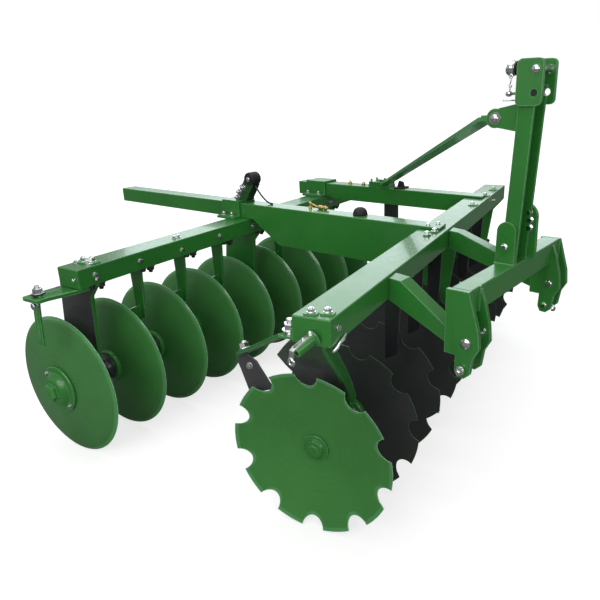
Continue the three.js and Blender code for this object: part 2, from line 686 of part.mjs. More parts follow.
for (const [side, centre] of Object.entries(clevisCentres)) {
  const inward = side === 'near' ? 1 : -1;
  const outerY = centre - inward * (CLEVIS_WIDTH / 2) - (inward > 0 ? PLATE_THICKNESS : 0);
  const innerY = centre + inward * (CLEVIS_WIDTH / 2) - (inward > 0 ? 0 : PLATE_THICKNESS);
  addPiece(harrow, `${side}_hitch_outer_plate`, hitchPlate(outerY, true), greenPaint());
  addPiece(harrow, `${side}_hitch_inner_plate`, hitchPlate(innerY, false), greenPaint());
  addPiece(harrow, `${side}_hitch_pin`, hitchPin(centre, HITCH_PIN, PIN_RADIUS), zincPlate());
  addPiece(harrow, `${side}_lower_pin`, hitchPin(centre, LOWER_PIN, LOWER_PIN.radius), zincPlate());
  addPiece(harrow, `${side}_drawbar_arm`, drawbarArm(centre), greenPaint());
}

// ---- Mast ----

const mastBottom = CROSSBEAM.top + SEAT_GAP;
const mastX = (z) => MAST_FOOT_X + MAST_LEAN * (z - mastBottom);
const mastNear = HITCH_CENTRE - MAST_WIDTH / 2;
const mastFar = HITCH_CENTRE + MAST_WIDTH / 2;

function mastPost() {
  const section = outline([
    [0, mastNear], [MAST_DEPTH, mastNear], [MAST_DEPTH, mastNear + MAST_WALL], [MAST_WALL, mastNear + MAST_WALL],
    [MAST_WALL, mastFar - MAST_WALL], [MAST_DEPTH, mastFar - MAST_WALL], [MAST_DEPTH, mastFar], [0, mastFar],
  ]);
  const geometry = new THREE.ExtrudeGeometry(section, { depth: MAST_TOP - mastBottom, bevelEnabled: false });
  const lean = new THREE.Matrix4().makeShear(0, 0, 0, 0, MAST_LEAN, 0);
  geometry.applyMatrix4(lean);
  geometry.translate(MAST_FOOT_X, 0, mastBottom);
  return toManifold(geometry);
}
function roundedRectangle(x0, x1, z0, z1, radius) {
  const shape = new THREE.Shape();
  shape.moveTo(x0, z0 + radius);
  shape.absarc(x0 + radius, z0 + radius, radius, Math.PI, 1.5 * Math.PI, false);
  shape.absarc(x1 - radius, z0 + radius, radius, 1.5 * Math.PI, 2 * Math.PI, false);
  shape.absarc(x1 - radius, z1 - radius, radius, 0, 0.5 * Math.PI, false);
  shape.absarc(x0 + radius, z1 - radius, radius, 0.5 * Math.PI, Math.PI, false);
  return shape;
}
function headPlate(y0) {
  const shape = roundedRectangle(MAST_HEAD.rear, MAST_HEAD.front, MAST_HEAD.bottom, MAST_HEAD.top, 16);
  return plate(shape, y0, y0 + MAST_HEAD.thickness + 1, 3);
}
function strutLug(y0) {
  const { x, z } = STRUT_PIN;
  const radius = 30;
  const shape = new THREE.Shape();
  shape.moveTo(mastX(z + 46) + 3, z + 46);
  shape.lineTo(x + 8, z + radius);
  shape.absarc(x, z, radius, 0.4 * Math.PI, 1.6 * Math.PI, false);
  shape.lineTo(mastX(z - 46) + 3, z - 40);
  return plate(shape, y0, y0 + 12, 8);
}
function mastWeldment() {
  const solid = join(
    mastPost(),
    headPlate(mastNear - MAST_HEAD.thickness),
    headPlate(mastFar - 1),
    strutLug(HITCH_CENTRE - STRUT_LUG_GAP / 2 - 12),
    strutLug(HITCH_CENTRE + STRUT_LUG_GAP / 2),
  );
  const low = mastNear - 60;
  const high = mastFar + 60;
  return cut(
    solid,
    roundBar(TOP_LINK.x, TOP_LINK.z, TOP_LINK.radius + BORE_GAP, low, high),
    roundBar(LOWER_HOLE.x, LOWER_HOLE.z, LOWER_HOLE.radius, low, high),
    roundBar(STRUT_PIN.x, STRUT_PIN.z, STRUT_PIN.radius + BORE_GAP, low, high),
  );
}
addPiece(harrow, 'mast', mastWeldment(), greenPaint());

function footLug(y0, lug) {
  const radius = (lug.front - lug.rear) / 2 - 2;
  const shape = new THREE.Shape();
  shape.moveTo(lug.rear, mastBottom);
  shape.lineTo(lug.front, mastBottom);
  shape.lineTo(lug.front - 2, lug.top - radius);
  shape.absarc((lug.front + lug.rear) / 2, lug.top - radius, radius, 0, Math.PI, false);
  return plate(shape, y0, y0 + LUG_THICKNESS, 8);
}
addPiece(harrow, 'near_mast_lug', footLug(mastNear - SEAT_GAP - LUG_THICKNESS, NEAR_LUG), greenPaint());
addPiece(harrow, 'far_mast_lug', footLug(mastFar + SEAT_GAP, FAR_LUG), greenPaint());

const headOuter = MAST_WIDTH / 2 + MAST_HEAD.thickness;
const topLinkPin = join(
  roundBar(TOP_LINK.x, TOP_LINK.z, TOP_LINK.radius, HITCH_CENTRE - headOuter - 8, HITCH_CENTRE + headOuter + 14),
  roundBar(TOP_LINK.x, TOP_LINK.z, TOP_LINK.radius + 6, HITCH_CENTRE - headOuter - 8, HITCH_CENTRE - headOuter - 1),
);
addPiece(harrow, 'top_link_pin', topLinkPin, zincPlate());

const strutPinHalf = STRUT_LUG_GAP / 2 + 12 + 8;
const strutPin = join(
  roundBar(STRUT_PIN.x, STRUT_PIN.z, STRUT_PIN.radius, HITCH_CENTRE - strutPinHalf, HITCH_CENTRE + strutPinHalf),
  roundBar(STRUT_PIN.x, STRUT_PIN.z, STRUT_PIN.radius + 6, HITCH_CENTRE - strutPinHalf, HITCH_CENTRE - strutPinHalf + 6),
);
addPiece(harrow, 'strut_pin', strutPin, zincPlate());

function braceStrut() {
  const eyeHalf = STRUT_LUG_GAP / 2 - SEAT_GAP;
  const { x, z } = STRUT_PIN;
  const neckEnd = x - STRUT.neck;
  const footZ = railTop + SEAT_GAP;
  const footY = FAR_RAIL.side + RAIL_WIDTH / 2;
  const eye = roundBar(x, z, 24, HITCH_CENTRE - eyeHalf, HITCH_CENTRE + eyeHalf);
  const neck = block(neckEnd, x, HITCH_CENTRE - 15, HITCH_CENTRE + 15, z - 10, z + 8);
  const bar = flatBar(
    new THREE.Vector3(neckEnd + 12, HITCH_CENTRE, z - 4),
    new THREE.Vector3(STRUT.footX, footY, footZ + STRUT.thickness / 2 + 2), STRUT.width, STRUT.thickness,
  );
  const foot = block(STRUT.footX - 74, STRUT.footX + 56, footY - 44, footY + 44, footZ, footZ + 14);
  const bore = roundBar(x, z, STRUT_PIN.radius + BORE_GAP, HITCH_CENTRE - 60, HITCH_CENTRE + 60);
  const belowFoot = block(-FAR_AHEAD, 0, 0, FAR_AHEAD, 0, footZ);
  return cut(join(eye, neck, bar, foot), bore, belowFoot);
}
addPiece(harrow, 'brace_strut', braceStrut(), greenPaint());

// The origin is under the middle of the whole machine, on the ground.
harrow.updateMatrixWorld(true);
const extent = new THREE.Box3().setFromObject(harrow, true);
const machine = new THREE.Group();
harrow.position.set(-(extent.min.x + extent.max.x) / 2, -(extent.min.y + extent.max.y) / 2, -extent.min.z);
machine.add(harrow);

export default machine;
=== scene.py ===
from math import cos, pi, radians, sin

import bmesh
import bpy
from mathutils import Matrix, Vector


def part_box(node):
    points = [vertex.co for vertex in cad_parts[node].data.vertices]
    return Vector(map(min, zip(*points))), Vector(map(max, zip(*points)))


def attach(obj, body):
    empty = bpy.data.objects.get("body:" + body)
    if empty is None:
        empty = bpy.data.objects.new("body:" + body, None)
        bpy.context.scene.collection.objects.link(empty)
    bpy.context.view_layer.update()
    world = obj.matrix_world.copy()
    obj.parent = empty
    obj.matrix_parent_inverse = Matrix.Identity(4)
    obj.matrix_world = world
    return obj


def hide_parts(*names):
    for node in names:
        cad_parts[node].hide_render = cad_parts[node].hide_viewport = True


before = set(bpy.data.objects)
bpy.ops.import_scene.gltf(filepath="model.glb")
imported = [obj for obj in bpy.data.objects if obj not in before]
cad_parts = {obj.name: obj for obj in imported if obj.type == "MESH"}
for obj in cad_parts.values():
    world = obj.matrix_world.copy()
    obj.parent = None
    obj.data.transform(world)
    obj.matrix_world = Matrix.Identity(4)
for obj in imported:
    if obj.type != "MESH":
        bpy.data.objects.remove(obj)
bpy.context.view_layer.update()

# ---- Places: the harrow's own millimetres, with each gang's frame on its axle line ----

MM = 0.001
NEAR_RAIL_CORNER = (-1203.0, 850.0)
rail_low, rail_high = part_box("near_rail")
HARROW = (
    Matrix.Translation((rail_low.x - NEAR_RAIL_CORNER[0] * MM, rail_low.y - NEAR_RAIL_CORNER[1] * MM, 0.0))
    @ Matrix.Scale(MM, 4)
)


def gang_place(x, y, swing):
    return HARROW @ Matrix.Translation((x, y, 0)) @ Matrix.Rotation(radians(swing), 4, "Z")


FRONT_SWING = 12.45
REAR_SWING = 6.5
FRONT = gang_place(0, 0, FRONT_SWING)
REAR = gang_place(-1180, -226, REAR_SWING)

DISC_COUNT = 9
DISC_SPACING = 265
DISC_THICKNESS = 6
FRONT_RADIUS = 304.3
FRONT_AXLE = 304.398
FRONT_DISH = 52
REAR_RADIUS = 312.2
REAR_AXLE = 312.305
REAR_DISH = -38
BEARING_GAPS = (0, 4, 7)
GANGS = (
    ("front", "front_gang", FRONT, FRONT_AXLE, FRONT_DISH),
    ("rear", "rear_gang", REAR, REAR_AXLE, REAR_DISH),
)

FRONT_BEAM_TOP = 917.2
FRONT_BEAM_FOOT = 836.6
FRONT_BEAM_FACE = 218.2
REAR_BEAM_TOP = 849.2
REAR_BEAM_FOOT = 768.6
REAR_BEAM_FACE = 188.2
RAIL_TOP = 929
HITCH_BRACKETS = (("near", 258.5, -1), ("far", 941.5, 1))
SHARP_FOLD = 34

# ---- Finishes ----


def node(tree, kind, **settings):
    made = tree.nodes.new(kind)
    for name, value in settings.items():
        setattr(made, name, value)
    return made


def feed(tree, made, **values):
    """Gives each named socket a number or a colour, or links another node's output to it."""
    for name, value in values.items():
        socket = made.inputs[name.replace("_", " ")]
        if isinstance(value, bpy.types.NodeSocket):
            tree.links.new(value, socket)
        else:
            socket.default_value = (*value, 1.0) if isinstance(value, tuple) else value
    return made


def maths(tree, operation, a, b, clamp=False):
    made = node(tree, "ShaderNodeMath", operation=operation, use_clamp=clamp)
    for socket, value in zip(made.inputs, (a, b)):
        if isinstance(value, bpy.types.NodeSocket):
            tree.links.new(value, socket)
        else:
            socket.default_value = value
    return made.outputs[0]


def spread(tree, value, low, high, to_low=0.0, to_high=1.0):
    made = node(tree, "ShaderNodeMapRange")
    feed(tree, made, Value=value, From_Min=low, From_Max=high, To_Min=to_low, To_Max=to_high)
    return made.outputs["Result"]


def noise(tree, where, scale, detail, roughness):
    made = node(tree, "ShaderNodeTexNoise")
    feed(tree, made, Vector=where, Scale=scale, Detail=detail, Roughness=roughness)
    return made.outputs["Fac"]


def own_place(tree):
    return node(tree, "ShaderNodeTexCoord").outputs["Object"]


def new_group(name, inputs, outputs):
    """A node group with its named sockets; inputs holds (name, start value, highest value)."""
    group = bpy.data.node_groups.new(name, "ShaderNodeTree")
    for label, value, highest in inputs:
        socket = group.interface.new_socket(name=label, in_out="INPUT", socket_type="NodeSocketFloat")
        socket.default_value = value
        socket.min_value = 0.0
        socket.max_value = highest
    for label in outputs:
        group.interface.new_socket(name=label, in_out="OUTPUT", socket_type="NodeSocketFloat")
    return group, node(group, "NodeGroupInput"), node(group, "NodeGroupOutput")


def build_edge_highlight_mask():
    """A mask that is 1 along a convex edge, where a highlight is painted, broken up by a fine noise."""
    inputs = (("Reach", 0.004, 0.1), ("Breakup", 60.0, 1000.0))
    group, entry, leave = new_group("painted_edge_highlight_mask", inputs, ("Edge",))
    rounded = node(group, "ShaderNodeBevel", samples=4)
    group.links.new(entry.outputs["Reach"], rounded.inputs["Radius"])
    surface = node(group, "ShaderNodeNewGeometry")
    dot = node(group, "ShaderNodeVectorMath", operation="DOT_PRODUCT")
    group.links.new(rounded.outputs["Normal"], dot.inputs[0])
    group.links.new(surface.outputs["Normal"], dot.inputs[1])
    bend = spread(group, dot.outputs["Value"], 0.985, 0.86)
    where = own_place(group)
    broken = spread(group, noise(group, where, entry.outputs["Breakup"], 4.0, 0.6), 0.32, 0.6, 0.35, 1.0)
    feed(group, leave, Edge=maths(group, "MULTIPLY", bend, broken, clamp=True))
    return group


def build_coat_texture():
    """Sprayed enamel: a slow drift of tone, faint dust that gathers on level faces, and orange peel."""
    inputs = (("Drift size", 3.0, 100.0), ("Peel size", 260.0, 3000.0))
    group, entry, leave = new_group("sprayed_coat", inputs, ("Tone", "Dust", "Peel"))
    where = own_place(group)
    tone = spread(group, noise(group, where, entry.outputs["Drift size"], 3.0, 0.5), 0.3, 0.7)
    feed(group, leave, Tone=tone)
    surface = node(group, "ShaderNodeNewGeometry")
    split = node(group, "ShaderNodeSeparateXYZ")
    group.links.new(surface.outputs["Normal"], split.inputs[0])
    level = spread(group, split.outputs["Z"], 0.2, 1.0)
    specks = spread(group, noise(group, where, 42.0, 6.0, 0.7), 0.45, 0.75)
    feed(group, leave, Dust=maths(group, "MULTIPLY", level, specks, clamp=True))
    feed(group, leave, Peel=noise(group, where, entry.outputs["Peel size"], 2.0, 0.5))
    return group


def build_brushed_streaks():
    """Fine turned or drawn streaks round the local Y axis, for plated and machined steel."""
    group, entry, leave = new_group("turned_streaks", (("Fineness", 900.0, 5000.0),), ("Streak", "Bloom"))
    where = own_place(group)
    squeeze = node(group, "ShaderNodeMapping")
    squeeze.inputs["Scale"].default_value = (0.12, 1.0, 0.12)
    group.links.new(where, squeeze.inputs["Vector"])
    streak = noise(group, squeeze.outputs["Vector"], entry.outputs["Fineness"], 2.0, 0.5)
    feed(group, leave, Streak=streak)
    feed(group, leave, Bloom=spread(group, noise(group, where, 55.0, 4.0, 0.6), 0.35, 0.7))
    return group


DRY_DUST = (0.42, 0.40, 0.35)
PEEL_STRENGTH = 0.09
EDGE_HIGHLIGHT_MASK = build_edge_highlight_mask()
SPRAYED_COAT = build_coat_texture()
TURNED_STREAKS = build_brushed_streaks()


def use_group(tree, group, **values):
    return feed(tree, node(tree, "ShaderNodeGroup", node_tree=group), **values)


def blend_colours(tree, factor, first, second):
    made = node(tree, "ShaderNodeMix", data_type="RGBA")
    return feed(tree, made, Factor=factor, A=first, B=second).outputs["Result"]


def overlay(tree, colour, mask, strength, second):
    """Lays a second colour over the first as far as the mask and the strength let it show."""
    return blend_colours(tree, maths(tree, "MULTIPLY", mask, strength, clamp=True), colour, second)


def new_finish(name):
    material = bpy.data.materials.new(name)
    material.use_nodes = True
    return material, material.node_tree, material.node_tree.nodes["Principled BSDF"]


def add_bump(tree, shader, height, strength, distance):
    bump = feed(tree, node(tree, "ShaderNodeBump"), Strength=strength, Distance=distance, Height=height)
    tree.links.new(bump.outputs["Normal"], shader.inputs["Normal"])


def enamel(name, light, dark, edge, roughness, coat, edge_highlight_strength=0.6, dust_strength=0.06, reach=0.004):
    """Sprayed enamel: light and dark drift over it, and edge is a painted highlight laid along each fold within
    reach of it.
    """
    material, tree, shader = new_finish(name)
    coat_texture = use_group(tree, SPRAYED_COAT, Drift_size=2.6, Peel_size=240.0)
    edges = use_group(tree, EDGE_HIGHLIGHT_MASK, Reach=reach, Breakup=70.0)
    colour = blend_colours(tree, coat_texture.outputs["Tone"], dark, light)
    colour = overlay(tree, colour, edges.outputs["Edge"], edge_highlight_strength, edge)
    colour = overlay(tree, colour, coat_texture.outputs["Dust"], dust_strength, DRY_DUST)
    shine = spread(tree, coat_texture.outputs["Tone"], 0.0, 1.0, roughness - 0.03, roughness + 0.04)
    shine = maths(tree, "ADD", shine, maths(tree, "MULTIPLY", coat_texture.outputs["Dust"], 0.10))
    feed(tree, shader, Base_Color=colour, Roughness=shine, Specular_IOR_Level=0.42)
    feed(tree, shader, Coat_Weight=coat, Coat_Roughness=0.07, Coat_IOR=1.5)
    add_bump(tree, shader, coat_texture.outputs["Peel"], PEEL_STRENGTH, 0.0004)
    return material


def plated(name, colour, tint, roughness, bloom=0.12, streak=0.15):
    material, tree, shader = new_finish(name)
    streaks = use_group(tree, TURNED_STREAKS, Fineness=900.0)
    edges = use_group(tree, EDGE_HIGHLIGHT_MASK, Reach=0.0015, Breakup=160.0)
    mixed = blend_colours(tree, streaks.outputs["Bloom"], colour, tint)
    # Edges take a colour a quarter brighter: a painted highlight.
    edge_highlight_colour = tuple(min(1.0, c * 1.25) for c in colour)
    mixed = overlay(tree, mixed, edges.outputs["Edge"], 0.5, edge_highlight_colour)
    rough = spread(tree, streaks.outputs["Bloom"], 0.0, 1.0, roughness, roughness + bloom)
    feed(tree, shader, Base_Color=mixed, Metallic=1.0, Roughness=rough)
    add_bump(tree, shader, streaks.outputs["Streak"], streak, 0.0002)
    return material


def disc_enamel(name, swing, light, dark, edge, roughness, coat, edge_highlight_strength):
    """Enamel over pressed steel: rolling marks run round the disc under the coat. Its axle is swung from Y."""
    material, tree, shader = new_finish(name)
    coat_texture = use_group(tree, SPRAYED_COAT, Drift_size=5.0, Peel_size=200.0)
    edges = use_group(tree, EDGE_HIGHLIGHT_MASK, Reach=0.003, Breakup=40.0)
    square = node(tree, "ShaderNodeMapping")
    square.inputs["Rotation"].default_value = (0.0, 0.0, -radians(swing))
    tree.links.new(own_place(tree), square.inputs["Vector"])
    split = feed(tree, node(tree, "ShaderNodeSeparateXYZ"), Vector=square.outputs["Vector"])
    flat = feed(tree, node(tree, "ShaderNodeCombineXYZ"), X=split.outputs["X"], Y=split.outputs["Z"])
    length = node(tree, "ShaderNodeVectorMath", operation="LENGTH")
    tree.links.new(flat.outputs[0], length.inputs[0])
    ring_place = feed(tree, node(tree, "ShaderNodeCombineXYZ"), X=length.outputs["Value"])
    rings = noise(tree, ring_place.outputs[0], 170.0, 4.0, 0.6)
    colour = blend_colours(tree, coat_texture.outputs["Tone"], dark, light)
    colour = overlay(tree, colour, spread(tree, rings, 0.4, 0.75), 0.10, edge)
    # Edge colour along the disc's folds: a painted highlight.
    colour = overlay(tree, colour, edges.outputs["Edge"], edge_highlight_strength, edge)
    shine = spread(tree, rings, 0.3, 0.7, roughness - 0.03, roughness + 0.04)
    feed(tree, shader, Base_Color=colour, Roughness=shine, Coat_Weight=coat, Coat_Roughness=0.14)
    peel = maths(tree, "MULTIPLY", coat_texture.outputs["Peel"], 0.4)
    height = maths(tree, "ADD", maths(tree, "MULTIPLY", rings, 0.7), peel)
    add_bump(tree, shader, height, 0.25, 0.0005)
    return material


GREEN = enamel(
    "green_enamel", (0.030, 0.205, 0.030), (0.022, 0.165, 0.024), (0.25, 0.57, 0.31), 0.28, 0.30, 0.8, reach=0.005,
)
REAR_DISC_GREEN = disc_enamel(
    "rear_disc_enamel", REAR_SWING,
    (0.041, 0.206, 0.038), (0.031, 0.166, 0.030), (0.36, 0.62, 0.40), 0.40, 0.28, 0.9,
)
FRONT_DISC_GREEN = disc_enamel(
    "front_disc_enamel", FRONT_SWING,
    (0.038, 0.218, 0.034), (0.030, 0.182, 0.027), (0.24, 0.50, 0.24), 0.46, 0.12, 0.8,
)
DISC_BLACK = disc_enamel(
    "disc_black_enamel", FRONT_SWING,
    (0.046, 0.047, 0.050), (0.035, 0.036, 0.039), (0.14, 0.22, 0.14), 0.46, 0.20, 0.7,
)
BLACK = enamel(
    "black_enamel", (0.024, 0.024, 0.027), (0.015, 0.015, 0.018), (0.08, 0.08, 0.086), 0.36, 0.30, 0.5, 0.10,
)
# Dark grey for the scraper blade; the legs' near webs also take it as painted shade.
GREY_BLADE_AND_PAINTED_SHADE = enamel(
    "grey_blade_coat_and_painted_shade", (0.060, 0.058, 0.064), (0.040, 0.039, 0.043), (0.16, 0.16, 0.16), 0.38, 0.2, 0.5, 0.08,
)
DARK_GREEN = enamel(
    "shaded_green_enamel", (0.016, 0.085, 0.018), (0.011, 0.060, 0.012), (0.09, 0.24, 0.09), 0.34, 0.25,
)
# A lighter copy of the green enamel for the brace strut: a painted reflection of the softboxes on it.
STRUT_GREEN_PAINTED_REFLECTION = enamel(
    "strut_green_painted_reflection", (0.072, 0.315, 0.090), (0.056, 0.265, 0.072), (0.20, 0.50, 0.24), 0.30, 0.35, 0.4, 0.03,
    reach=0.0012,
)
RUBBER = enamel(
    "moulded_rubber", (0.016, 0.016, 0.017), (0.010, 0.010, 0.011), (0.045, 0.045, 0.045), 0.62, 0.0, 0.4, 0.15,
)
ZINC = plated("zinc_plate", (0.70, 0.71, 0.72), (0.58, 0.60, 0.63), 0.24)
CHROME = plated("polished_chrome", (0.86, 0.86, 0.87), (0.78, 0.79, 0.80), 0.09, 0.06, 0.05)
DARK_STEEL = plated("oiled_dark_steel", (0.085, 0.085, 0.090), (0.055, 0.055, 0.060), 0.34)
BRASS = plated("brass_fitting", (0.78, 0.56, 0.24), (0.66, 0.45, 0.18), 0.25)

# ---- Making solids ----


class Solid:
    """Collects closed shapes, in millimetres, that become one piece."""

    def __init__(self):
        self.points = []
        self.faces = []
        self.finishes = []
        self.finish = 0

    def add(self, points, faces, place=None):
        start = len(self.points)
        self.points += [place @ Vector(p) if place else Vector(p) for p in points]
        self.faces += [[start + i for i in face] for face in faces]
        self.finishes += [self.finish] * len(faces)

    def use(self, finish):
        self.finish = finish


def aim(at, direction, spin=0.0):
    """A place at a point, with its Z along a direction."""
    turn = Vector(direction).normalized().to_track_quat("Z", "Y").to_matrix().to_4x4()
    return Matrix.Translation(Vector(at)) @ turn @ Matrix.Rotation(spin, 4, "Z")


def axes_place(x, y, z, at):
    """A place at a point, with its three axes given."""
    return Matrix((*zip(x, y, z, at), (0, 0, 0, 1)))


def shift(x, y, z):
    return Matrix.Translation((x, y, z))


def circle(radius, sides, height=0.0):
    turns = [2 * pi * i / sides for i in range(sides)]
    return [(radius * cos(turn), radius * sin(turn), height) for turn in turns]


def oblong(x, y):
    return [(x[0], y[0]), (x[1], y[0]), (x[1], y[1]), (x[0], y[1])]


def turned(solid, profile, place=None, sides=32):
    """A shape turned round Z: profile holds (radius, height) from one end on the axis to the other."""
    points = []
    rings = []
    for radius, height in profile:
        if radius <= 1e-6:
            rings.append([len(points)])
            points.append((0, 0, height))
        else:
            rings.append(list(range(len(points), len(points) + sides)))
            points += circle(radius, sides, height)
    faces = []
    for low, high in zip(rings, rings[1:]):
        for i in range(sides):
            j = (i + 1) % sides
            if len(low) == 1:
                faces.append([low[0], high[j], high[i]])
            elif len(high) == 1:
                faces.append([low[i], low[j], high[0]])
            else:
                faces.append([low[i], low[j], high[j], high[i]])
    solid.add(points, faces, place)


def skin(solid, rings, place=None, closed=False):
    """Joins rings of equally many points: the last to the first, or with both ends capped."""
    count, sides = len(rings), len(rings[0])
    faces = [] if closed else [list(range(sides))[::-1]]
    for a in range(count if closed else count - 1):
        b = (a + 1) % count
        for i in range(sides):
            j = (i + 1) % sides
            faces.append([a * sides + i, a * sides + j, b * sides + j, b * sides + i])
    if not closed:
        faces.append([(count - 1) * sides + i for i in range(sides)])
    solid.add([point for ring in rings for point in ring], faces, place)


def turned_ring(solid, profile, place=None, sides=32):
    """A shape with a hole, turned round Z: the closed profile never meets the axis."""
    skin(solid, [circle(radius, sides, height) for radius, height in profile], place, closed=True)


def stack(solid, levels, place=None):
    """A closed shape through level outlines: each is (height, points in X and Y), all with the same count."""
    skin(solid, [[(x, y, height) for x, y in ring] for height, ring in levels], place)


def slab(solid, x, y, z, place=None):
    stack(solid, [(height, oblong(x, y)) for height in z], place)


def side_plate(solid, outline, y, place=None):
    """A plate whose outline lies in X-Z, between two values of Y."""
    lay = Matrix(((1, 0, 0, 0), (0, 0, 1, 0), (0, 1, 0, 0), (0, 0, 0, 1)))
    stack(solid, [(y[0], outline), (y[1], outline)], place @ lay if place else lay)


def rod(solid, path, radius, sides=10, closed=False):
    """A round bar along a path; radius is one number or one for each point."""
    path = [Vector(p) for p in path]
    count = len(path)
    rings = []
    normal = None
    for i, here in enumerate(path):
        ahead = path[(i + 1) % count] if closed or i + 1 < count else here
        behind = path[i - 1] if closed or i > 0 else here
        along = (ahead - behind).normalized()
        if normal is None:
            normal = along.orthogonal().normalized()
        normal = (normal - along * normal.dot(along)).normalized()
        across = along.cross(normal)
        thick = radius[i] if isinstance(radius, list) else radius
        turns = [2 * pi * k / sides for k in range(sides)]
        rings.append([here + (normal * cos(turn) + across * sin(turn)) * thick for turn in turns])
    skin(solid, rings, closed=closed)


def loop(solid, centre, normal, radius, thickness, steps=24, sides=10):
    ring = aim(centre, normal)
    rod(solid, [ring @ Vector(p) for p in circle(radius, steps)], thickness, sides, closed=True)


def drum(solid, radius, low, high, place, sides=24):
    """A plain cylinder along Z."""
    turned(solid, [(0, low), (radius, low), (radius, high), (0, high)], place, sides)


def hexagon(radius):
    return [(radius * cos(pi * i / 3), radius * sin(pi * i / 3)) for i in range(6)]


def washer(solid, size, place, low=0.0):
    high = low + size * 0.16
    profile = [
        (size * 0.5, low), (size * 1.02, low), (size * 1.06, low + size * 0.04),
        (size * 1.06, high - size * 0.04), (size * 1.02, high), (size * 0.5, high),
    ]
    turned_ring(solid, profile, place, 24)


def bolt_head(solid, at, direction, size, spin=0.2):
    """A hexagon head on its washer; size is the thread's diameter."""
    place = aim(at, direction, spin)
    washer(solid, size, place)
    low = size * 0.17
    high = low + size * 0.62
    corner = size * 0.87
    crown = (high + size * 0.08, hexagon(corner * 0.86))
    stack(solid, [(low, hexagon(corner)), (high, hexagon(corner)), crown], place)
    turned(solid, [(0, high), (size * 0.55, high + size * 0.1), (0, high + size * 0.1)], place, 16)


def nut_end(solid, at, direction, size, spin=0.1, proud=0.55):
    """A nut on its washer with the end of the thread through it."""
    place = aim(at, direction, spin)
    washer(solid, size, place)
    low = size * 0.17
    high = low + size * 0.8
    corner = size * 0.87
    rings = [
        (low, hexagon(corner * 0.9)), (low + size * 0.07, hexagon(corner)),
        (high - size * 0.07, hexagon(corner)), (high, hexagon(corner * 0.9)),
    ]
    stack(solid, rings, place)
    profile = [(0, high - 1)]
    height = high - 1
    end = high + size * proud
    pitch = size * 0.14
    while height + pitch < end:
        profile += [(size * 0.44, height), (size * 0.5, height + pitch / 2)]
        height += pitch
    profile += [(size * 0.44, height), (size * 0.36, end), (0, end)]
    turned(solid, profile, place, 14)


def ball(solid, at, radius, sides=20):
    profile = [(radius * sin(pi * i / 12), -radius * cos(pi * i / 12)) for i in range(13)]
    turned(solid, profile, Matrix.Translation(Vector(at)), sides)


# ---- Making pieces ----


def add_bevel(obj, width):
    bevel = obj.modifiers.new("soft_edges", "BEVEL")
    bevel.width = width * MM
    bevel.segments = 2
    bevel.limit_method = "ANGLE"
    bevel.angle_limit = radians(SHARP_FOLD)
    bevel.harden_normals = True
    bevel.miter_outer = "MITER_ARC"


def finish_piece(name, mesh, body, materials, bevel, place=None):
    for material in materials:
        mesh.materials.append(material)
    obj = bpy.data.objects.new(name, mesh)
    bpy.context.scene.collection.objects.link(obj)
    if place is not None:
        obj.matrix_world = place
    if bevel:
        add_bevel(obj, bevel)
    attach(obj, body)
    return obj


def piece(
    name, solid, body, place, materials, bevel=0.0, centre=(0, 0, 0), sharp=SHARP_FOLD,
):
    """Turns a solid in millimetres into a piece that stays square to the world, with its origin at centre."""
    origin = Matrix.Translation(place @ Vector(centre))
    back = origin.inverted() @ place
    mesh = bpy.data.meshes.new(name)
    mesh.from_pydata([back @ p for p in solid.points], [], solid.faces)
    for polygon, finish in zip(mesh.polygons, solid.finishes):
        polygon.material_index = finish
    work = bmesh.new()
    work.from_mesh(mesh)
    bmesh.ops.recalc_face_normals(work, faces=work.faces)
    for face in work.faces:
        face.smooth = True
    work.to_mesh(mesh)
    work.free()
    mesh.set_sharp_from_angle(angle=radians(sharp))
    return finish_piece(name, mesh, body, materials, bevel, origin)


def dressed(node_name, material, bevel):
    """A CAD node with its hard edges rounded off, in its real finish."""
    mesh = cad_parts[node_name].data.copy()
    mesh.name = node_name + "_skin"
    mesh.materials.clear()
    work = bmesh.new()
    work.from_mesh(mesh)
    bmesh.ops.remove_doubles(work, verts=work.verts, dist=2e-5)
    bmesh.ops.dissolve_limit(work, angle_limit=radians(0.6), verts=work.verts, edges=work.edges)
    for face in work.faces:
        face.smooth = True
        face.material_index = 0
    work.to_mesh(mesh)
    work.free()
    mesh.set_sharp_from_angle(angle=radians(SHARP_FOLD))
    obj = finish_piece(node_name + "_skin", mesh, "frame", [material], bevel)
    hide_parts(node_name)
    return obj


# ---- Discs ----


HUB_FLAT = 74.0
DISC_BORE = 24.0
NOTCHES = 10
NOTCH_HALF_WIDTH = 42.0
NOTCH_DEPTH = 45.0
GROUND_WIDTH = 13.0
GROUND_EDGE = 1.8
PLAIN_RIM_STEPS = 128


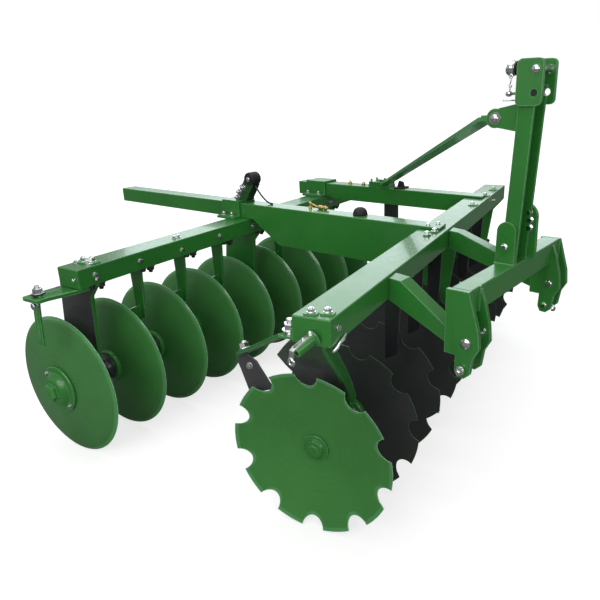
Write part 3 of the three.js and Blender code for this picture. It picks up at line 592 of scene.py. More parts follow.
def disc_solid(radius, dish, notches, start):
    """A dished disc round local Y, its rim in the plane y = 0 and its cutting edge ground on the bulging side."""
    rim = []
    if notches:
        half = NOTCH_HALF_WIDTH / radius
        period = 2 * pi / notches
        for n in range(notches):
            middle = start + n * period
            for k in range(13):
                sweep = pi * k / 12
                rim.append((middle - half * cos(sweep), radius - NOTCH_DEPTH * sin(sweep)))
            for k in range(1, 6):
                rim.append((middle + half + (period - 2 * half) * k / 6, radius))
    else:
        rim = [(2 * pi * k / PLAIN_RIM_STEPS, radius) for k in range(PLAIN_RIM_STEPS)]
    count = len(rim)
    steps = (0.0, 0.16, 0.32, 0.48, 0.62, 0.75, 0.86, None, 1.0)

    def depth(r):
        hub = HUB_FLAT * HUB_FLAT
        return dish if r <= HUB_FLAT else dish * (1 - (r * r - hub) / (radius * radius - hub))

    rings = [[(turn, DISC_BORE) for turn, _ in rim]]
    for step in steps:
        if step is None:
            rings.append([(turn, edge - GROUND_WIDTH) for turn, edge in rim])
        else:
            rings.append([(turn, HUB_FLAT + (edge - HUB_FLAT) * step) for turn, edge in rim])
    points = []
    last = len(rings) - 1
    for side in (0, 1):
        for index, ring in enumerate(rings):
            for turn, r in ring:
                offset = DISC_THICKNESS * side
                if index == last and (side == 1) == (dish > 0):
                    offset = GROUND_EDGE if dish > 0 else DISC_THICKNESS - GROUND_EDGE
                points.append((r * sin(turn), depth(r) + offset, -r * cos(turn)))
    solid = Solid()
    face_sets = ([], [])
    layer = len(rings) * count
    for ring in range(last):
        for i in range(count):
            j = (i + 1) % count
            a, b = ring * count + i, ring * count + j
            c, d = a + count, b + count
            target = face_sets[1 if ring == last - 1 else 0]
            target.append([a, b, d, c])
            target.append([layer + a, layer + c, layer + d, layer + b])
    for i in range(count):
        j = (i + 1) % count
        a, b = last * count + i, last * count + j
        face_sets[1].append([a, b, layer + b, layer + a])
        face_sets[0].append([i, layer + i, layer + j, j])
    solid.points = [Vector(p) for p in points]
    solid.faces = face_sets[0] + face_sets[1]
    solid.finishes = [0] * len(face_sets[0]) + [1] * len(face_sets[1])
    return solid


# The discs' ground rims take lighter, greener colours than their faces and a strong edge colour: a painted
# highlight round each rim.
RIM_GREEN_PAINTED_HIGHLIGHT = enamel(
    "ground_edge_green_painted_highlight", (0.085, 0.31, 0.10), (0.06, 0.25, 0.07), (0.50, 0.75, 0.56), 0.24, 0.6, 1.0, 0.0, 0.0035,
)
RIM_BLACK_PAINTED_HIGHLIGHT = enamel(
    "ground_edge_black_painted_highlight", (0.045, 0.075, 0.048), (0.030, 0.044, 0.032), (0.20, 0.30, 0.20), 0.30, 0.3, 0.8, 0.0,
    reach=0.003,
)


def gang_discs():
    for n in range(DISC_COUNT):
        start = 0.0 if n % 2 == 0 else pi / 10 + pi / 50
        solid = disc_solid(FRONT_RADIUS, FRONT_DISH, NOTCHES, start)
        place = FRONT @ shift(0, n * DISC_SPACING, FRONT_AXLE)
        finishes = [FRONT_DISC_GREEN, RIM_GREEN_PAINTED_HIGHLIGHT] if n == 0 else [DISC_BLACK, RIM_BLACK_PAINTED_HIGHLIGHT]
        made = piece(f"front_notched_disc_{n + 1}", solid, "front_gang", place, finishes, sharp=40)
        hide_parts(f"front_disc_{n + 1}")
    finishes = [REAR_DISC_GREEN, RIM_GREEN_PAINTED_HIGHLIGHT]
    for n in range(DISC_COUNT):
        solid = disc_solid(REAR_RADIUS, REAR_DISH, 0, 0)
        place = REAR @ shift(0, n * DISC_SPACING, REAR_AXLE)
        made = piece(f"rear_plain_disc_{n + 1}", solid, "rear_gang", place, finishes, sharp=40)
        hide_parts(f"rear_disc_{n + 1}")


gang_discs()

# ---- Axles: spools, washers, journals, end caps ----

ALONG = aim((0, 0, 0), (0, 1, 0))
SEAT_GAP = 0.3


def spool(solid, start, end, journal):
    """One cast spool between two discs, with a painted seat ring at its far end."""
    solid.use(0)
    waist = 45.8 if journal else 41
    middle = (start + end) / 2
    reach = 40 if journal else 26
    profile = [
        (0, start), (64, start), (68, start + 3), (68, start + 11), (64, start + 14), (55, start + 18),
        (47, start + 30), (43, start + 48), (waist, middle - reach - 5), (waist, middle + reach + 5),
        (43, end - 62), (47, end - 46), (55, end - 34), (60, end - 28), (60, end - 21), (0, end - 21),
    ]
    turned(solid, profile, ALONG, 40)
    for rib in range(4):
        turn = Matrix.Rotation(pi / 2 * rib + 0.4, 4, "Z")
        for low, high in ((start + 12, start + 44), (end - 58, end - 30)):
            slab(solid, (40, 52), (-4, 4), (low, high), ALONG @ turn)
    solid.use(1)
    flange = [(22, end - 22), (70, end - 22), (75, end - 18), (77, end - 10), (77, end - 3), (74, end), (22, end)]
    turned_ring(solid, flange, ALONG, 48)


def gang_axle_pieces(prefix, body, place, axle_height, dish):
    solid = Solid()
    for gap in range(DISC_COUNT - 1):
        start = gap * DISC_SPACING + dish + DISC_THICKNESS + SEAT_GAP
        end = (gap + 1) * DISC_SPACING + dish - SEAT_GAP
        spool(solid, start, end, gap in BEARING_GAPS)
    solid.use(0)
    length = (DISC_COUNT - 1) * DISC_SPACING
    drum(solid, 22, dish - 8, length + dish + 12, ALONG, 16)
    far = length + dish + DISC_THICKNESS + SEAT_GAP
    solid.use(1)
    turned(solid, [(0, far), (72, far), (74, far + 3), (74, far + 8), (58, far + 12), (0, far + 12)], ALONG, 40)
    solid.use(2)
    stack(solid, [(far + 11, hexagon(34)), (far + 20, hexagon(34)), (far + 23, hexagon(30))], ALONG)
    axle = place @ shift(0, 0, axle_height)
    finishes = [BLACK, GREEN, DARK_STEEL]
    made = piece(f"{prefix}_spools", solid, body, axle, finishes, bevel=0.8, sharp=30)
    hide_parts(f"{prefix}_gang_axle")


def front_end_cap():
    """A stepped, domed cap over the near end of the front axle."""
    solid = Solid()
    face = FRONT_DISH - SEAT_GAP
    profile = (
        (0, 0), (49, 0), (50, 2), (49.5, 5.5), (46, 7.5), (37, 8.5), (34.5, 10), (33, 15), (30, 17.5), (22, 18.5),
        (17, 18), (16, 21.5), (14, 23.2), (9, 23.9), (6.5, 23.2), (5.5, 23.6), (3.5, 23.95), (0, 24),
    )
    turned(solid, [(radius, face - proud) for radius, proud in profile], ALONG, 56)
    piece("front_hub_cap", solid, "front_gang", FRONT @ shift(0, 0, FRONT_AXLE), [GREEN], sharp=50)


def rear_end_cap():
    """A broad pressed flange, a tapered boss and a big square-shouldered nut on the near end of the rear axle."""
    solid = Solid()
    face = REAR_DISH - SEAT_GAP
    profile = (
        (0, 0), (103, 0), (104, 2), (103.5, 7), (100, 10.5), (92, 11.5), (84, 11), (78, 13), (74, 19), (66, 28),
        (58, 35), (50, 38), (0, 38),
    )
    turned(solid, [(radius, face - proud) for radius, proud in profile], ALONG, 64)
    nut = [(face - 37, hexagon(40)), (face - 52, hexagon(40)), (face - 57.5, hexagon(35))]
    stack(solid, nut, ALONG @ Matrix.Rotation(0.25, 4, "Z"))
    bolt_end = [(0, face - 50), (21, face - 50), (21, face - 57.6), (18, face - 57.9), (0, face - 57.9)]
    turned(solid, bolt_end, ALONG, 28)
    solid.use(1)
    for turn in (2.35, 2.35 + pi):
        at = (88 * cos(turn), face - 11.2, 88 * sin(turn))
        bolt_head(solid, at, (0, -1, 0), 10)
    place = REAR @ shift(0, 0, REAR_AXLE)
    piece("rear_hub_cap", solid, "rear_gang", place, [GREEN, ZINC], bevel=1.2, sharp=38)


for gang in GANGS:
    gang_axle_pieces(*gang)
front_end_cap()
rear_end_cap()

# ---- Frame members in their enamel ----

for member in ("front_beam", "rear_beam", "near_rail", "far_rail", "extension_bar", "hitch_crossbeam"):
    dressed(member, GREEN, 4.5)
for member in ("near_drawbar_arm", "far_drawbar_arm", "mast"):
    dressed(member, GREEN, 3.0)
for member in (
    "near_hitch_outer_plate", "near_hitch_inner_plate", "far_hitch_outer_plate", "far_hitch_inner_plate",
    "near_mast_lug", "far_mast_lug", "near_saddle", "far_saddle",
    "front_hanger_2", "front_hanger_3", "rear_hanger_2", "rear_hanger_3",
):
    dressed(member, GREEN, 2.0)


def painted_shade_web(member, place, lowest):
    """A leg whose near side is painted dark grey for the shade on it."""
    made = dressed(member, GREEN, 2.0)
    made.data.materials.append(GREY_BLADE_AND_PAINTED_SHADE)
    nearward = (place.to_3x3() @ Vector((0, -1, 0))).normalized()
    for polygon in made.data.polygons:
        # Near-facing faces above the lowest height take the dark grey: painted shade.
        if polygon.normal.dot(nearward) > 0.5 and polygon.center.z > lowest:
            polygon.material_index = 1


def front_leg():
    """The near leg of the front gang: a web with painted shade on its near side and a painted flange down its
    front edge.
    """
    painted_shade_web("front_hanger_1", FRONT, 0.4)
    solid = Solid()
    edge = ((446, 86, 165.5), (540, 105, 91), (624, 122, 16), (702, 145, -71), (789, 178, -174), (834, 197, -226))
    stack(solid, [(z, oblong((u - 14, u - 0.5), (t - 3, t + 5))) for z, u, t in edge])
    stack(solid, [(z, oblong((u - 9, u + 0.8), (t + 38, t + 47))) for z, u, t in edge])
    piece("front_leg_flange", solid, "frame", FRONT, [GREEN], bevel=1.5, centre=(120, 0, 650))


front_leg()
painted_shade_web("rear_hanger_1", REAR, 0.4)
dressed("front_scrapers", BLACK, 1.5)
dressed("rear_scrapers", GREEN, 1.5)
dressed("rail_post", BLACK, 2.5)
dressed("brace_strut", STRUT_GREEN_PAINTED_REFLECTION, 1.2)
for member in ("near_lower_pin", "far_lower_pin"):
    dressed(member, CHROME, 1.2)

# ---- Small hardware ----


UP = (0, 0, 1)
DOWN = (0, 0, -1)
NEARWARD = (0, -1, 0)
FARWARD = (0, 1, 0)
FORWARD = (1, 0, 0)


def weld(solid, path, radius):
    """A weld bead along a path, with the ripples that a torch leaves every 6 mm."""
    points = []
    for start, end in zip(path, path[1:]):
        start, end = Vector(start), Vector(end)
        count = max(2, int((end - start).length / 6.0))
        points += [start.lerp(end, i / count) for i in range(count)]
    points.append(Vector(path[-1]))
    ripple = [1.0 + 0.14 * sin(i * 2.1) + 0.07 * sin(i * 0.9 + 1.0) for i in range(len(points))]
    rod(solid, points, [radius * share for share in ripple], 7)


def stud(solid, at, direction, size, length, nut_at):
    """A long threaded stud with a nut and washer part of the way up it."""
    place = aim(at, direction)
    height = 0.0
    pitch = size * 0.16
    profile = [(0, 0), (size * 0.45, 0)]
    while height + pitch < length:
        profile += [(size * 0.5, height + pitch / 2), (size * 0.44, height + pitch)]
        height += pitch
    profile += [(size * 0.36, length), (0, length)]
    turned(solid, profile, place, 12)
    nut_end(solid, place @ Vector((0, 0, nut_at)), direction, size, 0.3, 0.1)


def link_chain(solid, start, end, sag, radius, wire):
    """Small oval links that hang between two points."""
    start, end = Vector(start), Vector(end)
    count = max(4, int((end - start).length / (radius * 1.5)))
    for i in range(count):
        share = (i + 0.5) / count
        here = start.lerp(end, share) + Vector((0, 0, -sag * 4 * share * (1 - share)))
        ahead = start.lerp(end, share + 0.02) + Vector((0, 0, -sag * 4 * (share + 0.02) * (0.98 - share)))
        link = aim(here, ahead - here, pi / 2 * (i % 2))
        path = [link @ Vector((0.55 * x, 0, z)) for x, z, _ in circle(radius, 16)]
        rod(solid, path, wire, 6, closed=True)


def linch_pin(solid, at, direction, size=9.0):
    """A short pin with a domed head and a sprung ring through it."""
    place = aim(at, direction)
    profile = [
        (0, -34), (size * 0.3, -34), (size * 0.5, -30), (size * 0.5, 0), (size * 0.95, 1), (size, 6),
        (size * 0.8, 13), (size * 0.4, 15), (0, 15),
    ]
    turned(solid, profile, place, 18)
    hung = place @ Vector((0, 0, 4)) + Vector((0, 0, -19))
    loop(solid, hung, place.to_3x3() @ Vector((0, 1, 0)), 19, 1.9, 26, 8)


def grease_nipple(solid, at, direction):
    profile = [(0, 0), (5, 0), (5, 4), (3, 5.5), (2.6, 8), (4, 10), (4, 12), (2.4, 14.5), (0, 15)]
    turned(solid, profile, aim(at, direction), 12)


def pad(solid, at, half_x, half_y, spin=0.0):
    """A flat pad 5 mm thick with its corners cut off."""
    ring = [
        (-half_x, -half_y + 5), (-half_x + 5, -half_y), (half_x - 5, -half_y), (half_x, -half_y + 5),
        (half_x, half_y - 5), (half_x - 5, half_y), (-half_x + 5, half_y), (-half_x, half_y - 5),
    ]
    stack(solid, [(0, ring), (5, ring)], aim(at, UP, spin))


def rear_beam_hardware():
    """Pads, bolts and nuts on the rear beam's top, its front face, its near end and its underside."""
    solid = Solid()
    pad(solid, (122, 112, REAR_BEAM_TOP), 52, 26, 0.1)
    solid.use(1)
    bolt_head(solid, (83, 85, REAR_BEAM_TOP + 0.1), UP, 11)
    nut_end(solid, (104, 108, REAR_BEAM_TOP + 5), UP, 16, 0.2, 0.3)
    nut_end(solid, (141, 118, REAR_BEAM_TOP + 5), UP, 16, 0.5, 0.3)
    bolt_head(solid, (169, 78, REAR_BEAM_TOP + 0.1), UP, 11)
    for t in (575, 601, 1310, 1338, 1990, 2018):
        nut_end(solid, (137, t, REAR_BEAM_TOP + 0.1), UP, 11, 0.2, 0.25)
    heights = (811, 810, 799, 809, 808, 806, 808, 806, 808)
    for t, z in zip((90, 320, 568, 830, 1090, 1350, 1610, 1870, 2130), heights):
        bolt_head(solid, (REAR_BEAM_FACE, t, z), FORWARD, 11, 0.3)
    bolt_head(solid, (REAR_BEAM_FACE, 96, 792), FORWARD, 9)
    bolt_head(solid, (160, 11.8, 806), NEARWARD, 9)
    solid.use(2)
    for t in (98, 362, 628, 892, 1157, 1423, 1688, 1952):
        nut_end(solid, (168, t + 26, REAR_BEAM_FOOT), DOWN, 19)
        bolt_head(solid, (176, t - 24, REAR_BEAM_FOOT), DOWN, 15)
    finishes = [GREEN, CHROME, DARK_STEEL]
    piece("rear_beam_bolts", solid, "frame", REAR, finishes, centre=(120, 900, 849))


def front_beam_hardware():
    """Nuts on pads along the front beam's top, bolts in its front face and underside, and a clip near its end."""
    solid = Solid()
    for u, t in ((148, -208), (190, -192)):
        pad(solid, (u, t, FRONT_BEAM_TOP), 20, 15, 0.25)
    for u, t in ((170, 738), (182, 800)):
        pad(solid, (u, t, FRONT_BEAM_TOP), 14, 14)
    for t in (1422, 1692, 1893):
        pad(solid, (190, t, FRONT_BEAM_TOP), 20, 24)
    solid.use(1)
    for u, t in ((148, -208), (190, -192), (170, 738), (182, 800), (188, 1415), (190, 1686), (192, 1890)):
        nut_end(solid, (u, t, FRONT_BEAM_TOP + 5), UP, 12, 0.2, 0.25)
    for u, t in ((134, 868), (166, 906)):
        bolt_head(solid, (u, t, RAIL_TOP + 0.5), UP, 10)
    for t in (-191, 1780):
        bolt_head(solid, (FRONT_BEAM_FACE, t, 880), FORWARD, 9)
    clip = [(222, -232, 828), (224, -214, 832), (223, -196, 838), (224, -176, 842), (222, -152, 848)]
    rod(solid, clip, [4, 6, 4.5, 6.5, 4], 10)
    solid.use(2)
    for t in (455, 720, 985, 1250, 1515, 1780):
        nut_end(solid, (186, t + 30, FRONT_BEAM_FOOT), DOWN, 18)
        bolt_head(solid, (196, t - 26, FRONT_BEAM_FOOT), DOWN, 15)
    finishes = [GREEN, CHROME, DARK_STEEL]
    piece("front_beam_bolts", solid, "frame", FRONT, finishes, centre=(160, 800, 917))


def beam_end_lock():
    """A tube that stands out of the front beam's near end, with a sprung catch on it."""
    solid = Solid()
    root = Vector((168, -234, 862))
    tip = Vector((142, -292, 838))
    along = (tip - root).normalized()
    length = (tip - root).length
    place = aim(root, along)
    turned_ring(solid, [(11, 0), (17, 0), (17, length - 2), (16, length), (11, length)], place, 30)
    drum(solid, 10.8, 3, length - 7, place, 20)
    turned_ring(solid, [(17.2, 0.5), (24, 0.5), (22, 5), (18, 7), (17.2, 7)], place, 26)
    solid.use(1)
    lift = Vector((0, 0, 17))
    strip = [root + lift + along * 6, root + lift + along * 26, tip + lift * 0.9]
    strip += [tip + Vector((-4, -12, 8)), tip + Vector((-5, -15, -14))]
    for first, second in zip(strip, strip[1:]):
        slab(solid, (-8, 8), (-2.2, 2.2), (0, (second - first).length + 1.0), aim(first, second - first))
    eye = tip + Vector((-5, -15, -22))
    loop(solid, eye, (0.3, 1, 0.1), 9.5, 4.2)
    ball(solid, root + lift + along * 14 + Vector((0, 0, 4)), 6.5, 16)
    ball(solid, root + lift + along * 40 + Vector((0, 0, 3)), 4.5, 14)
    finishes = [GREEN, CHROME]
    piece("beam_end_catch", solid, "frame", FRONT, finishes, bevel=0.5, centre=(160, -250, 850))


def front_end_scraper():
    """A root plate under a stack of nuts, a sloping bar with a rounded tip and a dark blade."""
    solid = Solid()
    slab(solid, (61, 99), (-230, -174), (841.5, 849))
    slab(solid, (92, 99.4), (-230, -174), (848, 874))
    root = Vector((64, -211, 846))
    tip = Vector((-270, 33, 626))
    along = (tip - root).normalized()
    across = Vector((0, 0, 1)).cross(along).normalized()
    up = along.cross(across)
    bar = axes_place(along, across, up, root)
    reach = (tip - root).length
    outline = [(-4, -21), (reach - 8, -21)]
    outline += [(reach - 8 + 20 * sin(pi * k / 10), -21 * cos(pi * k / 10)) for k in range(1, 10)]
    outline += [(reach - 8, 21), (-4, 21)]
    stack(solid, [(-5.5, outline), (5.5, outline)], bar)
    raised = [(5, oblong((reach - 96, reach - 30), (-19, 19))), (8.5, oblong((reach - 92, reach - 34), (-16, 16)))]
    stack(solid, raised, bar)
    weld(solid, [bar @ Vector((2, -21, 4)), bar @ Vector((60, -21, 6))], 3.0)
    solid.use(1)
    blade = [(-292, 604), (-262, 634), (-209, 606), (-147, 512), (-244, 474), (-277, 568)]
    side_plate(solid, blade, (31.5, 38.5))
    solid.use(2)
    bolt_place = bar @ Vector((reach - 62, 0, 8.5))
    nut_end(solid, bolt_place, up, 21, 0.2, 0.35)
    bolt_head(solid, (-236, 31.3, 586), NEARWARD, 12)
    for height, radius in ((849, 19), (853, 15), (858, 19)):
        drum(solid, radius, height, height + 3.6, shift(78, -203, 0))
    nut_end(solid, (78, -203, 858), UP, 23)
    finishes, centre = [GREEN, GREY_BLADE_AND_PAINTED_SHADE, CHROME], (-100, -100, 740)
    made = piece("front_end_scraper_bar", solid, "frame", FRONT, finishes, bevel=1.6, centre=centre)
    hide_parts("front_end_scraper")


def rear_end_scraper():
    """A broad ribbed plate with a rounded tip and an arm that hangs in front of the first disc."""
    solid = Solid()
    plate = [(60, 59), (181, 59), (181, 10), (151, -112)]
    plate += [(133 + 18 * cos(a), -131 - 18 * sin(a)) for a in (0, 0.4, 0.8, 1.2, 1.57)]
    plate += [(60 - 14 * sin(a), -135 - 14 * cos(a)) for a in (0, 0.4, 0.8, 1.2, 1.57)]
    plate += [(50, -60)]
    stack(solid, [(755, plate), (768.5, plate)])
    low_ring = [(62, -118), (118, -118), (124, -30), (74, -30)]
    high_ring = [(66, -114), (114, -114), (120, -34), (78, -34)]
    stack(solid, [(768, low_ring), (774, high_ring)])
    for first, second in (((60, -136), (62, 8)), ((146, -112), (176, 8))):
        weld(solid, [(first[0], first[1], 768.5), (second[0], second[1], 768.5)], 2.6)
    arm = []
    for k in range(7):
        share = k / 6
        bow = sin(pi * share)
        arm.append((756 - 194 * share, 105 - 22 * share - 6 * bow, -125 + 2.0 * bow))
    stack(solid, [(z, oblong((x - 19, x + 19), (y - 4.5, y + 4.5))) for z, x, y in reversed(arm)])
    stack(solid, [(z, oblong((x - 4, x + 4), (y - 7.5, y - 4))) for z, x, y in reversed(arm[:-1])])
    solid.use(1)
    bolt_head(solid, (103, -129.6, 736), NEARWARD, 17)
    solid.use(2)
    drum(solid, 27, 774, 778, shift(94, -106, 0), 6)
    solid.use(1)
    nut_end(solid, (94, -106, 778), UP, 22, 0.2, 0.5)
    finishes = [GREEN, ZINC, DARK_STEEL]
    made = piece("rear_end_scraper_arm", solid, "frame", REAR, finishes, bevel=1.6, centre=(100, -60, 700))
    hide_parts("rear_end_scraper")


def saddle_hardware():
    """Strips and nuts on the feet of both saddles."""
    for prefix, side, rear, front in (("near", 850, -1300, -1172), ("far", 1600, -1345, -1195)):
        solid = Solid()
        for y0, y1 in ((side - 54, side - 17), (side + 113, side + 150)):
            slab(solid, (rear + 8, front - 8), (y0, y1), (861.5, 866.5))
        solid.use(1)
        for x in (rear + 32, front - 32):
            for y in (side - 36, side + 132):
                nut_end(solid, (x, y, 866.5), UP, 13, 0.2, 0.35)
        name, finishes = f"{prefix}_saddle_bolts", [GREEN, CHROME]
        piece(name, solid, "frame", HARROW, finishes, bevel=1.0, centre=(rear, side, 900))


def adjuster_hardware():
    """Two cheek plates lean forward to a thick rubber-faced roller that the pull rod hangs from."""
    solid = Solid()
    slab(solid, (-1240, -1142), (866, 930), (929.6, 938))
    ring = (-1114, 1054)
    for y0, y1 in ((870, 877), (919, 926)):
        cheek = [(-1228, 937), (-1150, 937), (-1092, 1022)]
        cheek += [(ring[0] + 28 * cos(a), ring[1] + 28 * sin(a)) for a in [-0.8 + 0.38 * k for k in range(9)]]
        cheek += [(-1176, 1012), (-1206, 974)]
        side_plate(solid, cheek, (y0, y1))
    slab(solid, (-1206, -1160), (876, 920), (940, 952))
    solid.use(1)
    roller = aim((ring[0], 868, ring[1]), FARWARD)
    turned_ring(solid, [(13, -2), (30, -2), (34, 3), (35, 10), (35, 50), (34, 57), (30, 62), (13, 62)], roller, 44)
    turned_ring(solid, [(13, -5), (19, -5), (20, -2), (13, -2)], roller, 30)
    solid.use(2)
    for x, z in ((-1206, 955), (-1190, 985), (-1158, 1008)):
        nut_end(solid, (x, 869.6, z), NEARWARD, 14, 0.2, 0.5)
        bolt_head(solid, (x, 926.4, z), FARWARD, 13)
    pivot = [(0, 0), (9, 0), (12, 2), (12.4, 5), (12.4, 70), (10, 73), (0, 73)]
    turned(solid, pivot, aim((ring[0], 861, ring[1]), FARWARD), 28)
    spring = []
    for k in range(113):
        turn = 2 * pi * k / 14
        spring.append((-1232 + 9 * cos(turn) + 30 * k / 112, 898 + 9 * sin(turn), 952 + 50 * k / 112))
    rod(solid, spring, 2.0, 7)
    nut_end(solid, (-1200, 898, 1004), (0.5, 0, 0.86), 15, 0.2, 0.3)
    nut_end(solid, (-1234, 898, 940), (0.3, 0, 0.95), 15, 0.2, 0.2)
    solid.use(3)
    rod(solid, [(-1234, 898, 940), (-1200, 898, 1006)], 5.0, 14)
    finishes = [DARK_GREEN, RUBBER, CHROME, DARK_STEEL]
    made = piece("adjuster_cheeks", solid, "frame", HARROW, finishes, bevel=1.2, centre=(-1180, 898, 960))
    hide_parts("adjuster_bracket")
    solid = Solid()
    path = []
    for k in range(25):
        share = k / 24
        bow = sin(pi * share)
        path.append((-1104 + 124 * share + 6 * bow, 898, 1024 - 91 * share - 24 * bow))
    rod(solid, path, [4.6] * 20 + [4.8, 5.4, 6.0, 6.0, 5.0], 12)
    eye = aim((-1112, 898, 1054), FARWARD)
    turned_ring(solid, [(5, -9), (11, -9), (12, -7), (12, 7), (11, 9), (5, 9)], eye, 24)
    rod(solid, [(-1112, 898, 1044), (-1104, 898, 1024)], 4.6, 12)
    made = piece("adjuster_pull_rod", solid, "frame", HARROW, [BLACK], centre=(-1060, 898, 1000))
    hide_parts("adjuster_lever")


def rail_hardware():
    """Clamp studs on the far rail, and a rubber dome and a brass elbow, pipe and valve on the near one."""
    solid = Solid()
    for x in (-862, -806, -758):
        for y in (1620, 1676):
            stud(solid, (x, y, 936), UP, 14, 40, 8)
    for y in (1604, 1692):
        slab(solid, (-866, -752), (y - 7, y + 7), (930, 962))
    slab(solid, (-858, -838), (1606, 1690), (936, 958))
    solid.use(1)
    slab(solid, (-700, -648), (1606, 1690), (929.6, 937))
    side_plate(solid, [(-696, 936), (-652, 936), (-660, 966), (-684, 972)], (1636, 1652))
    dome = [(0, 929), (33, 929), (34, 931), (34, 937), (31, 948), (25, 957), (15, 963), (6, 965), (0, 965)]
    turned(solid, dome, shift(-433, 912, 0), 36)
    solid.use(2)
    elbow = [(0, 929), (9, 929), (9, 937), (6, 939), (6, 950), (8, 952), (8, 958), (5, 961), (0, 961)]
    turned(solid, elbow, shift(-742, 920, 0), 20)
    rod(solid, [(-742, 920, 953), (-724, 920, 949), (-702, 920, 942), (-690, 920, 940)], 3.6, 12)
    body = [(0, 0), (7, 0), (7, 6), (10.2, 8), (10.2, 30), (8, 32), (8, 40), (10, 42)]
    body += [(10, 54), (6, 57), (6, 66), (0, 66)]
    turned(solid, body, aim((-694, 920, 939.6), FORWARD), 24)
    for x in (-1040, -940):
        plug = [(0, 929), (12, 929), (12, 940), (7, 944), (7, 950), (0, 950)]
        turned(solid, plug, shift(x, 1648, 0), 20)
    finishes = [GREEN, RUBBER, BRASS]
    piece("rail_fittings", solid, "frame", HARROW, finishes, bevel=1.0, centre=(-700, 1200, 930))


def hitch_hardware():
    """The lower link pins, the bolts of both brackets, the far one's shackle, and the welds round them."""
    for prefix, centre, outward in HITCH_BRACKETS:
        # The lower link pin: a headed pin with a collar near its inner end
        solid = Solid()
        outer = centre + outward * 46
        pin = aim((455, centre + outward * 55, 757), (0, -outward, 0))
        profile = [
            (0, 0), (9, 0), (12, 2), (16, 4), (17, 6), (17, 8), (14, 9), (14, 96), (12.5, 99), (13.6, 101),
            (13.6, 106), (11, 109), (0, 109),
        ]
        turned(solid, profile, pin, 32)
        name = f"{prefix}_lower_link_pin"
        made = piece(name, solid, "frame", HARROW, [CHROME], centre=(455, centre, 757))
        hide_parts(f"{prefix}_hitch_pin")
        solid = Solid()
        nut_end(solid, (444, outer + outward * 9.2, 668), (0, outward, 0), 13, 0.2, 0.3)
        bolt_head(solid, (474, centre - outward * 30.4, 777), (0, outward, 0), 9)
        if prefix == "far":
            ball(solid, (444, centre - 40, 668), 13)
            collar = aim((444, centre - 30.6, 668), NEARWARD)
            turned_ring(solid, [(8, 0), (17, 0), (18, 2), (18, 5), (8, 6)], collar, 28)
            loop(solid, (476, centre - 42, 664), (0.3, 1, 0.2), 11, 4.0)
        solid.use(1)
        for x in (391.5, 456.5):
            weld(solid, [(x, centre + 30, 917), (x, centre + 30, 840)], 3.2)
        name = f"{prefix}_hitch_bolts"
        piece(name, solid, "frame", HARROW, [CHROME, GREEN], centre=(440, outer, 780))
    # Welds where the drawbar arms, the crossbeam and the mast meet
    solid = Solid()
    weld(solid, [(404, 551, 917.5), (404, 649, 917.5), (456, 649, 917.5)], 4.2)
    weld(solid, [(404, 551, 917.5), (456, 551, 917.5)], 4.2)
    for y in (536, 664):
        weld(solid, [(388, y, 917.5), (456, y, 917.5)], 3.6)
    for _, centre, _ in HITCH_BRACKETS:
        weld(solid, [(391, centre - 28, 910.5), (391, centre + 28, 910.5)], 4.0)
    piece("hitch_welds", solid, "frame", HARROW, [GREEN], centre=(420, 600, 917))


def mast_hardware():
    """The mast's bolts, its two turned pins, and the knob, clip and chain on its head."""
    solid = Solid()
    # The top link pin, with the bolts in the mast's near side and its rear lug
    bolt_head(solid, (419, 535.8, 975), NEARWARD, 11)
    for x, z in ((451, 1073), (456, 1048), (456, 1022)):
        bolt_head(solid, (x, 647.8, z), NEARWARD, 12)
        nut_end(solid, (x, 663.6, z), FARWARD, 12)
    profile = [(0, 0), (8, 0), (11, 1.5), (12.5, 4), (12.5, 7.5), (12, 8), (12, 138), (10.5, 141), (0, 142)]
    turned(solid, profile, aim((478, 531, 1516), FARWARD), 32)
    made = piece("top_link_pin_turned", solid, "frame", HARROW, [CHROME], centre=(478, 600, 1516))
    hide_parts("top_link_pin")
    solid = Solid()
    pin = aim((350, 555, 1376), FARWARD)
    profile = [(0, 0), (8, 0), (11, 2), (12.5, 5), (12, 6), (12, 87), (10, 90), (0, 90)]
    turned(solid, profile, pin, 28)
    turned_ring(solid, [(12.2, 5), (19, 5), (20, 7), (20, 8), (12.2, 8)], pin, 28)
    made = piece("strut_pin_turned", solid, "frame", HARROW, [CHROME], centre=(350, 600, 1376))
    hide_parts("strut_pin")
    solid = Solid()
    # Knob behind the head, with its washers
    profile = [(0, 0), (10, 0), (10, 7), (19, 9), (23, 14), (24, 21), (22, 29), (17, 35), (9, 38), (0, 39)]
    turned(solid, profile, aim((412, 574, 1521), (-1, 0, 0.02)), 32)
    linch_pin(solid, (398, 553, 1449), (-0.2, -1, 0))
    solid.use(1)
    for shift in (0, 6, 12):
        drum(solid, 21, shift, shift + 3.5, aim((421, 574, 1521), (-1, 0, 0.02)), 26)
    drum(solid, 9, 0, 0.6, aim((476, 538.6, 1450), NEARWARD), 26)
    solid.use(2)
    link_chain(solid, (396, 558, 1506), (398, 551, 1462), 6, 6.5, 1.7)
    finishes = [CHROME, RUBBER, ZINC]
    piece("mast_head_fittings", solid, "frame", HARROW, finishes, centre=(420, 560, 1500))


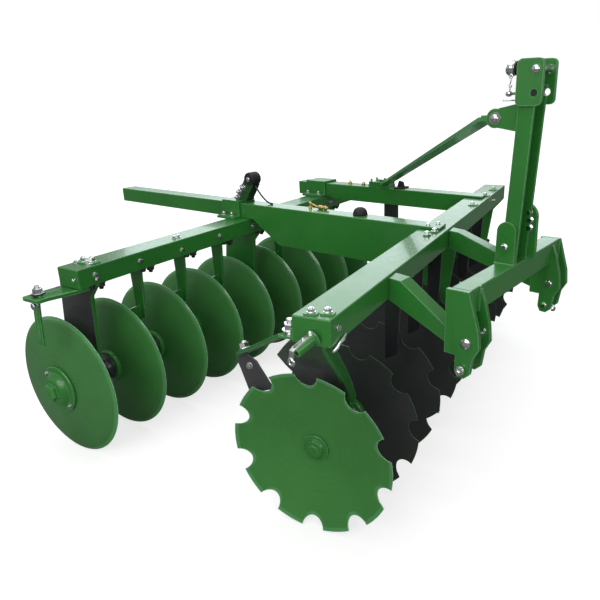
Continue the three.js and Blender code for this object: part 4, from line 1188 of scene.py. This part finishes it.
def bearing_fittings():
    """Covers with four bolts on both sides of each bearing, which stay with the frame, and its grease nipple."""
    for prefix, _, place, axle, dish in GANGS:
        solid = Solid()
        for gap in BEARING_GAPS:
            y = (gap + 0.5) * DISC_SPACING + dish + 3
            for face, way in ((y - 32, -1), (y + 32, 1)):
                solid.use(0)
                ring = aim((0, face, axle), (0, way, 0))
                turned_ring(solid, [(48, -1), (73, -1), (73, 3), (70, 5.5), (54, 5.5), (48, 3)], ring, 44)
                solid.use(1)
                for k in range(4):
                    turn = pi / 4 + pi / 2 * k
                    at = (63 * cos(turn), face + way * 5.4, axle + 63 * sin(turn))
                    bolt_head(solid, at, (0, way, 0), 7)
            solid.use(2)
            grease_nipple(solid, (77.0, y, axle + 12), (1, 0, 0.15))
        name, finishes = f"{prefix}_bearing_covers", [GREEN, ZINC, BRASS]
        piece(name, solid, "frame", place, finishes, centre=(0, 1000, axle))


rear_beam_hardware()
front_beam_hardware()
beam_end_lock()
front_end_scraper()
rear_end_scraper()
saddle_hardware()
adjuster_hardware()
rail_hardware()
hitch_hardware()
mast_hardware()
bearing_fittings()

# ---- Stage, light and camera ----


def seen_rays(tree, share):
    """1 for rays that are in a mirror, and 1 for what the camera sees, with a share of that for mirrors."""
    rays = node(tree, "ShaderNodeLightPath")
    mirrored = rays.outputs["Is Glossy Ray"]
    dimmed = maths(tree, "MULTIPLY", mirrored, share)
    return mirrored, maths(tree, "MAXIMUM", rays.outputs["Is Camera Ray"], dimmed)


def stage_floor():
    mesh = bpy.data.meshes.new("studio_floor")
    mesh.from_pydata([(-30, -30, 0), (30, -30, 0), (30, 30, 0), (-30, 30, 0)], [], [[0, 1, 2, 3]])
    floor = bpy.data.objects.new("studio_floor", mesh)
    bpy.context.scene.collection.objects.link(floor)
    material = bpy.data.materials.new("studio_floor_paper")
    material.use_nodes = True
    tree = material.node_tree
    tree.nodes.clear()
    out = node(tree, "ShaderNodeOutputMaterial")
    paper = node(tree, "ShaderNodeBsdfDiffuse")
    glow = node(tree, "ShaderNodeEmission")
    glow.inputs["Color"].default_value = (1, 1, 1, 1)
    mirrored, seen = seen_rays(tree, 0.05)
    tree.links.new(spread(tree, mirrored, 0, 1, 0.50, 0.16), paper.inputs["Color"])
    where = node(tree, "ShaderNodeNewGeometry")
    away = node(tree, "ShaderNodeVectorMath", operation="LENGTH")
    tree.links.new(where.outputs["Position"], away.inputs[0])
    lift = spread(tree, away.outputs["Value"], 2.0, 8.0, 0.68, 1.0)
    tree.links.new(maths(tree, "MULTIPLY", seen, lift), glow.inputs["Strength"])
    both = node(tree, "ShaderNodeAddShader")
    for first, second in ((paper, both.inputs[0]), (glow, both.inputs[1]), (both, out.inputs["Surface"])):
        tree.links.new(first.outputs[0], second)
    mesh.materials.append(material)


def soft_lamp(name, at, target, width, height, power, colour=(1, 1, 1)):
    data = bpy.data.lights.new(name, "AREA")
    data.shape = "RECTANGLE"
    data.size = width
    data.size_y = height
    data.energy = power
    data.color = colour
    lamp = bpy.data.objects.new(name, data)
    lamp.location = at
    lamp.rotation_euler = (Vector(target) - Vector(at)).to_track_quat("-Z", "Y").to_euler()
    lamp.visible_camera = False
    bpy.context.scene.collection.objects.link(lamp)


def studio_light():
    world = bpy.data.worlds.new("studio_air")
    bpy.context.scene.world = world
    world.use_nodes = True
    tree = world.node_tree
    tree.nodes.clear()
    out = node(tree, "ShaderNodeOutputWorld")
    sky = node(tree, "ShaderNodeBackground")
    sky.inputs["Color"].default_value = (1, 1, 1, 1)
    _, seen = seen_rays(tree, 0.10)
    tree.links.new(spread(tree, seen, 0, 1, 0.32, 1.0), sky.inputs["Strength"])
    tree.links.new(sky.outputs[0], out.inputs["Surface"])
    # Name, place, what it faces, width, height, watts and tint
    soft_lamp("overhead_softbox", (0.0, -0.6, 5.2), (0, 0, 0.4), 6.0, 5.0, 125)
    soft_lamp("near_side_softbox", (1.2, -6.0, 3.4), (0, 0, 0.5), 4.5, 3.0, 130)
    soft_lamp("far_side_softbox", (-4.0, 5.6, 3.9), (0, 0, 0.8), 8.0, 3.8, 205, (0.86, 0.98, 1.0))
    soft_lamp("front_fill_softbox", (5.6, -2.6, 2.6), (0, 0, 0.6), 3.0, 2.4, 50)


def studio_camera():
    data = bpy.data.cameras.new("studio_camera")
    data.sensor_width = 36
    data.lens = 35.673
    data.shift_x = -0.0396
    data.shift_y = -0.0009
    data.clip_end = 200
    camera = bpy.data.objects.new("studio_camera", data)
    yaw, pitch, roll = radians(129.9), radians(-19.468), radians(-2.116)
    view = Vector((cos(pitch) * cos(yaw), cos(pitch) * sin(yaw), sin(pitch)))
    right = view.cross(Vector((0, 0, 1))).normalized()
    up = right.cross(view)
    right, up = right * cos(roll) + up * sin(roll), up * cos(roll) - right * sin(roll)
    spot = HARROW @ Vector((1169.460, -1289.312, 1481.810))
    camera.matrix_world = axes_place(right, up, -view, spot)
    bpy.context.scene.collection.objects.link(camera)
    bpy.context.scene.camera = camera


stage_floor()
studio_light()
studio_camera()
bpy.context.scene.view_settings.view_transform = "Standard"
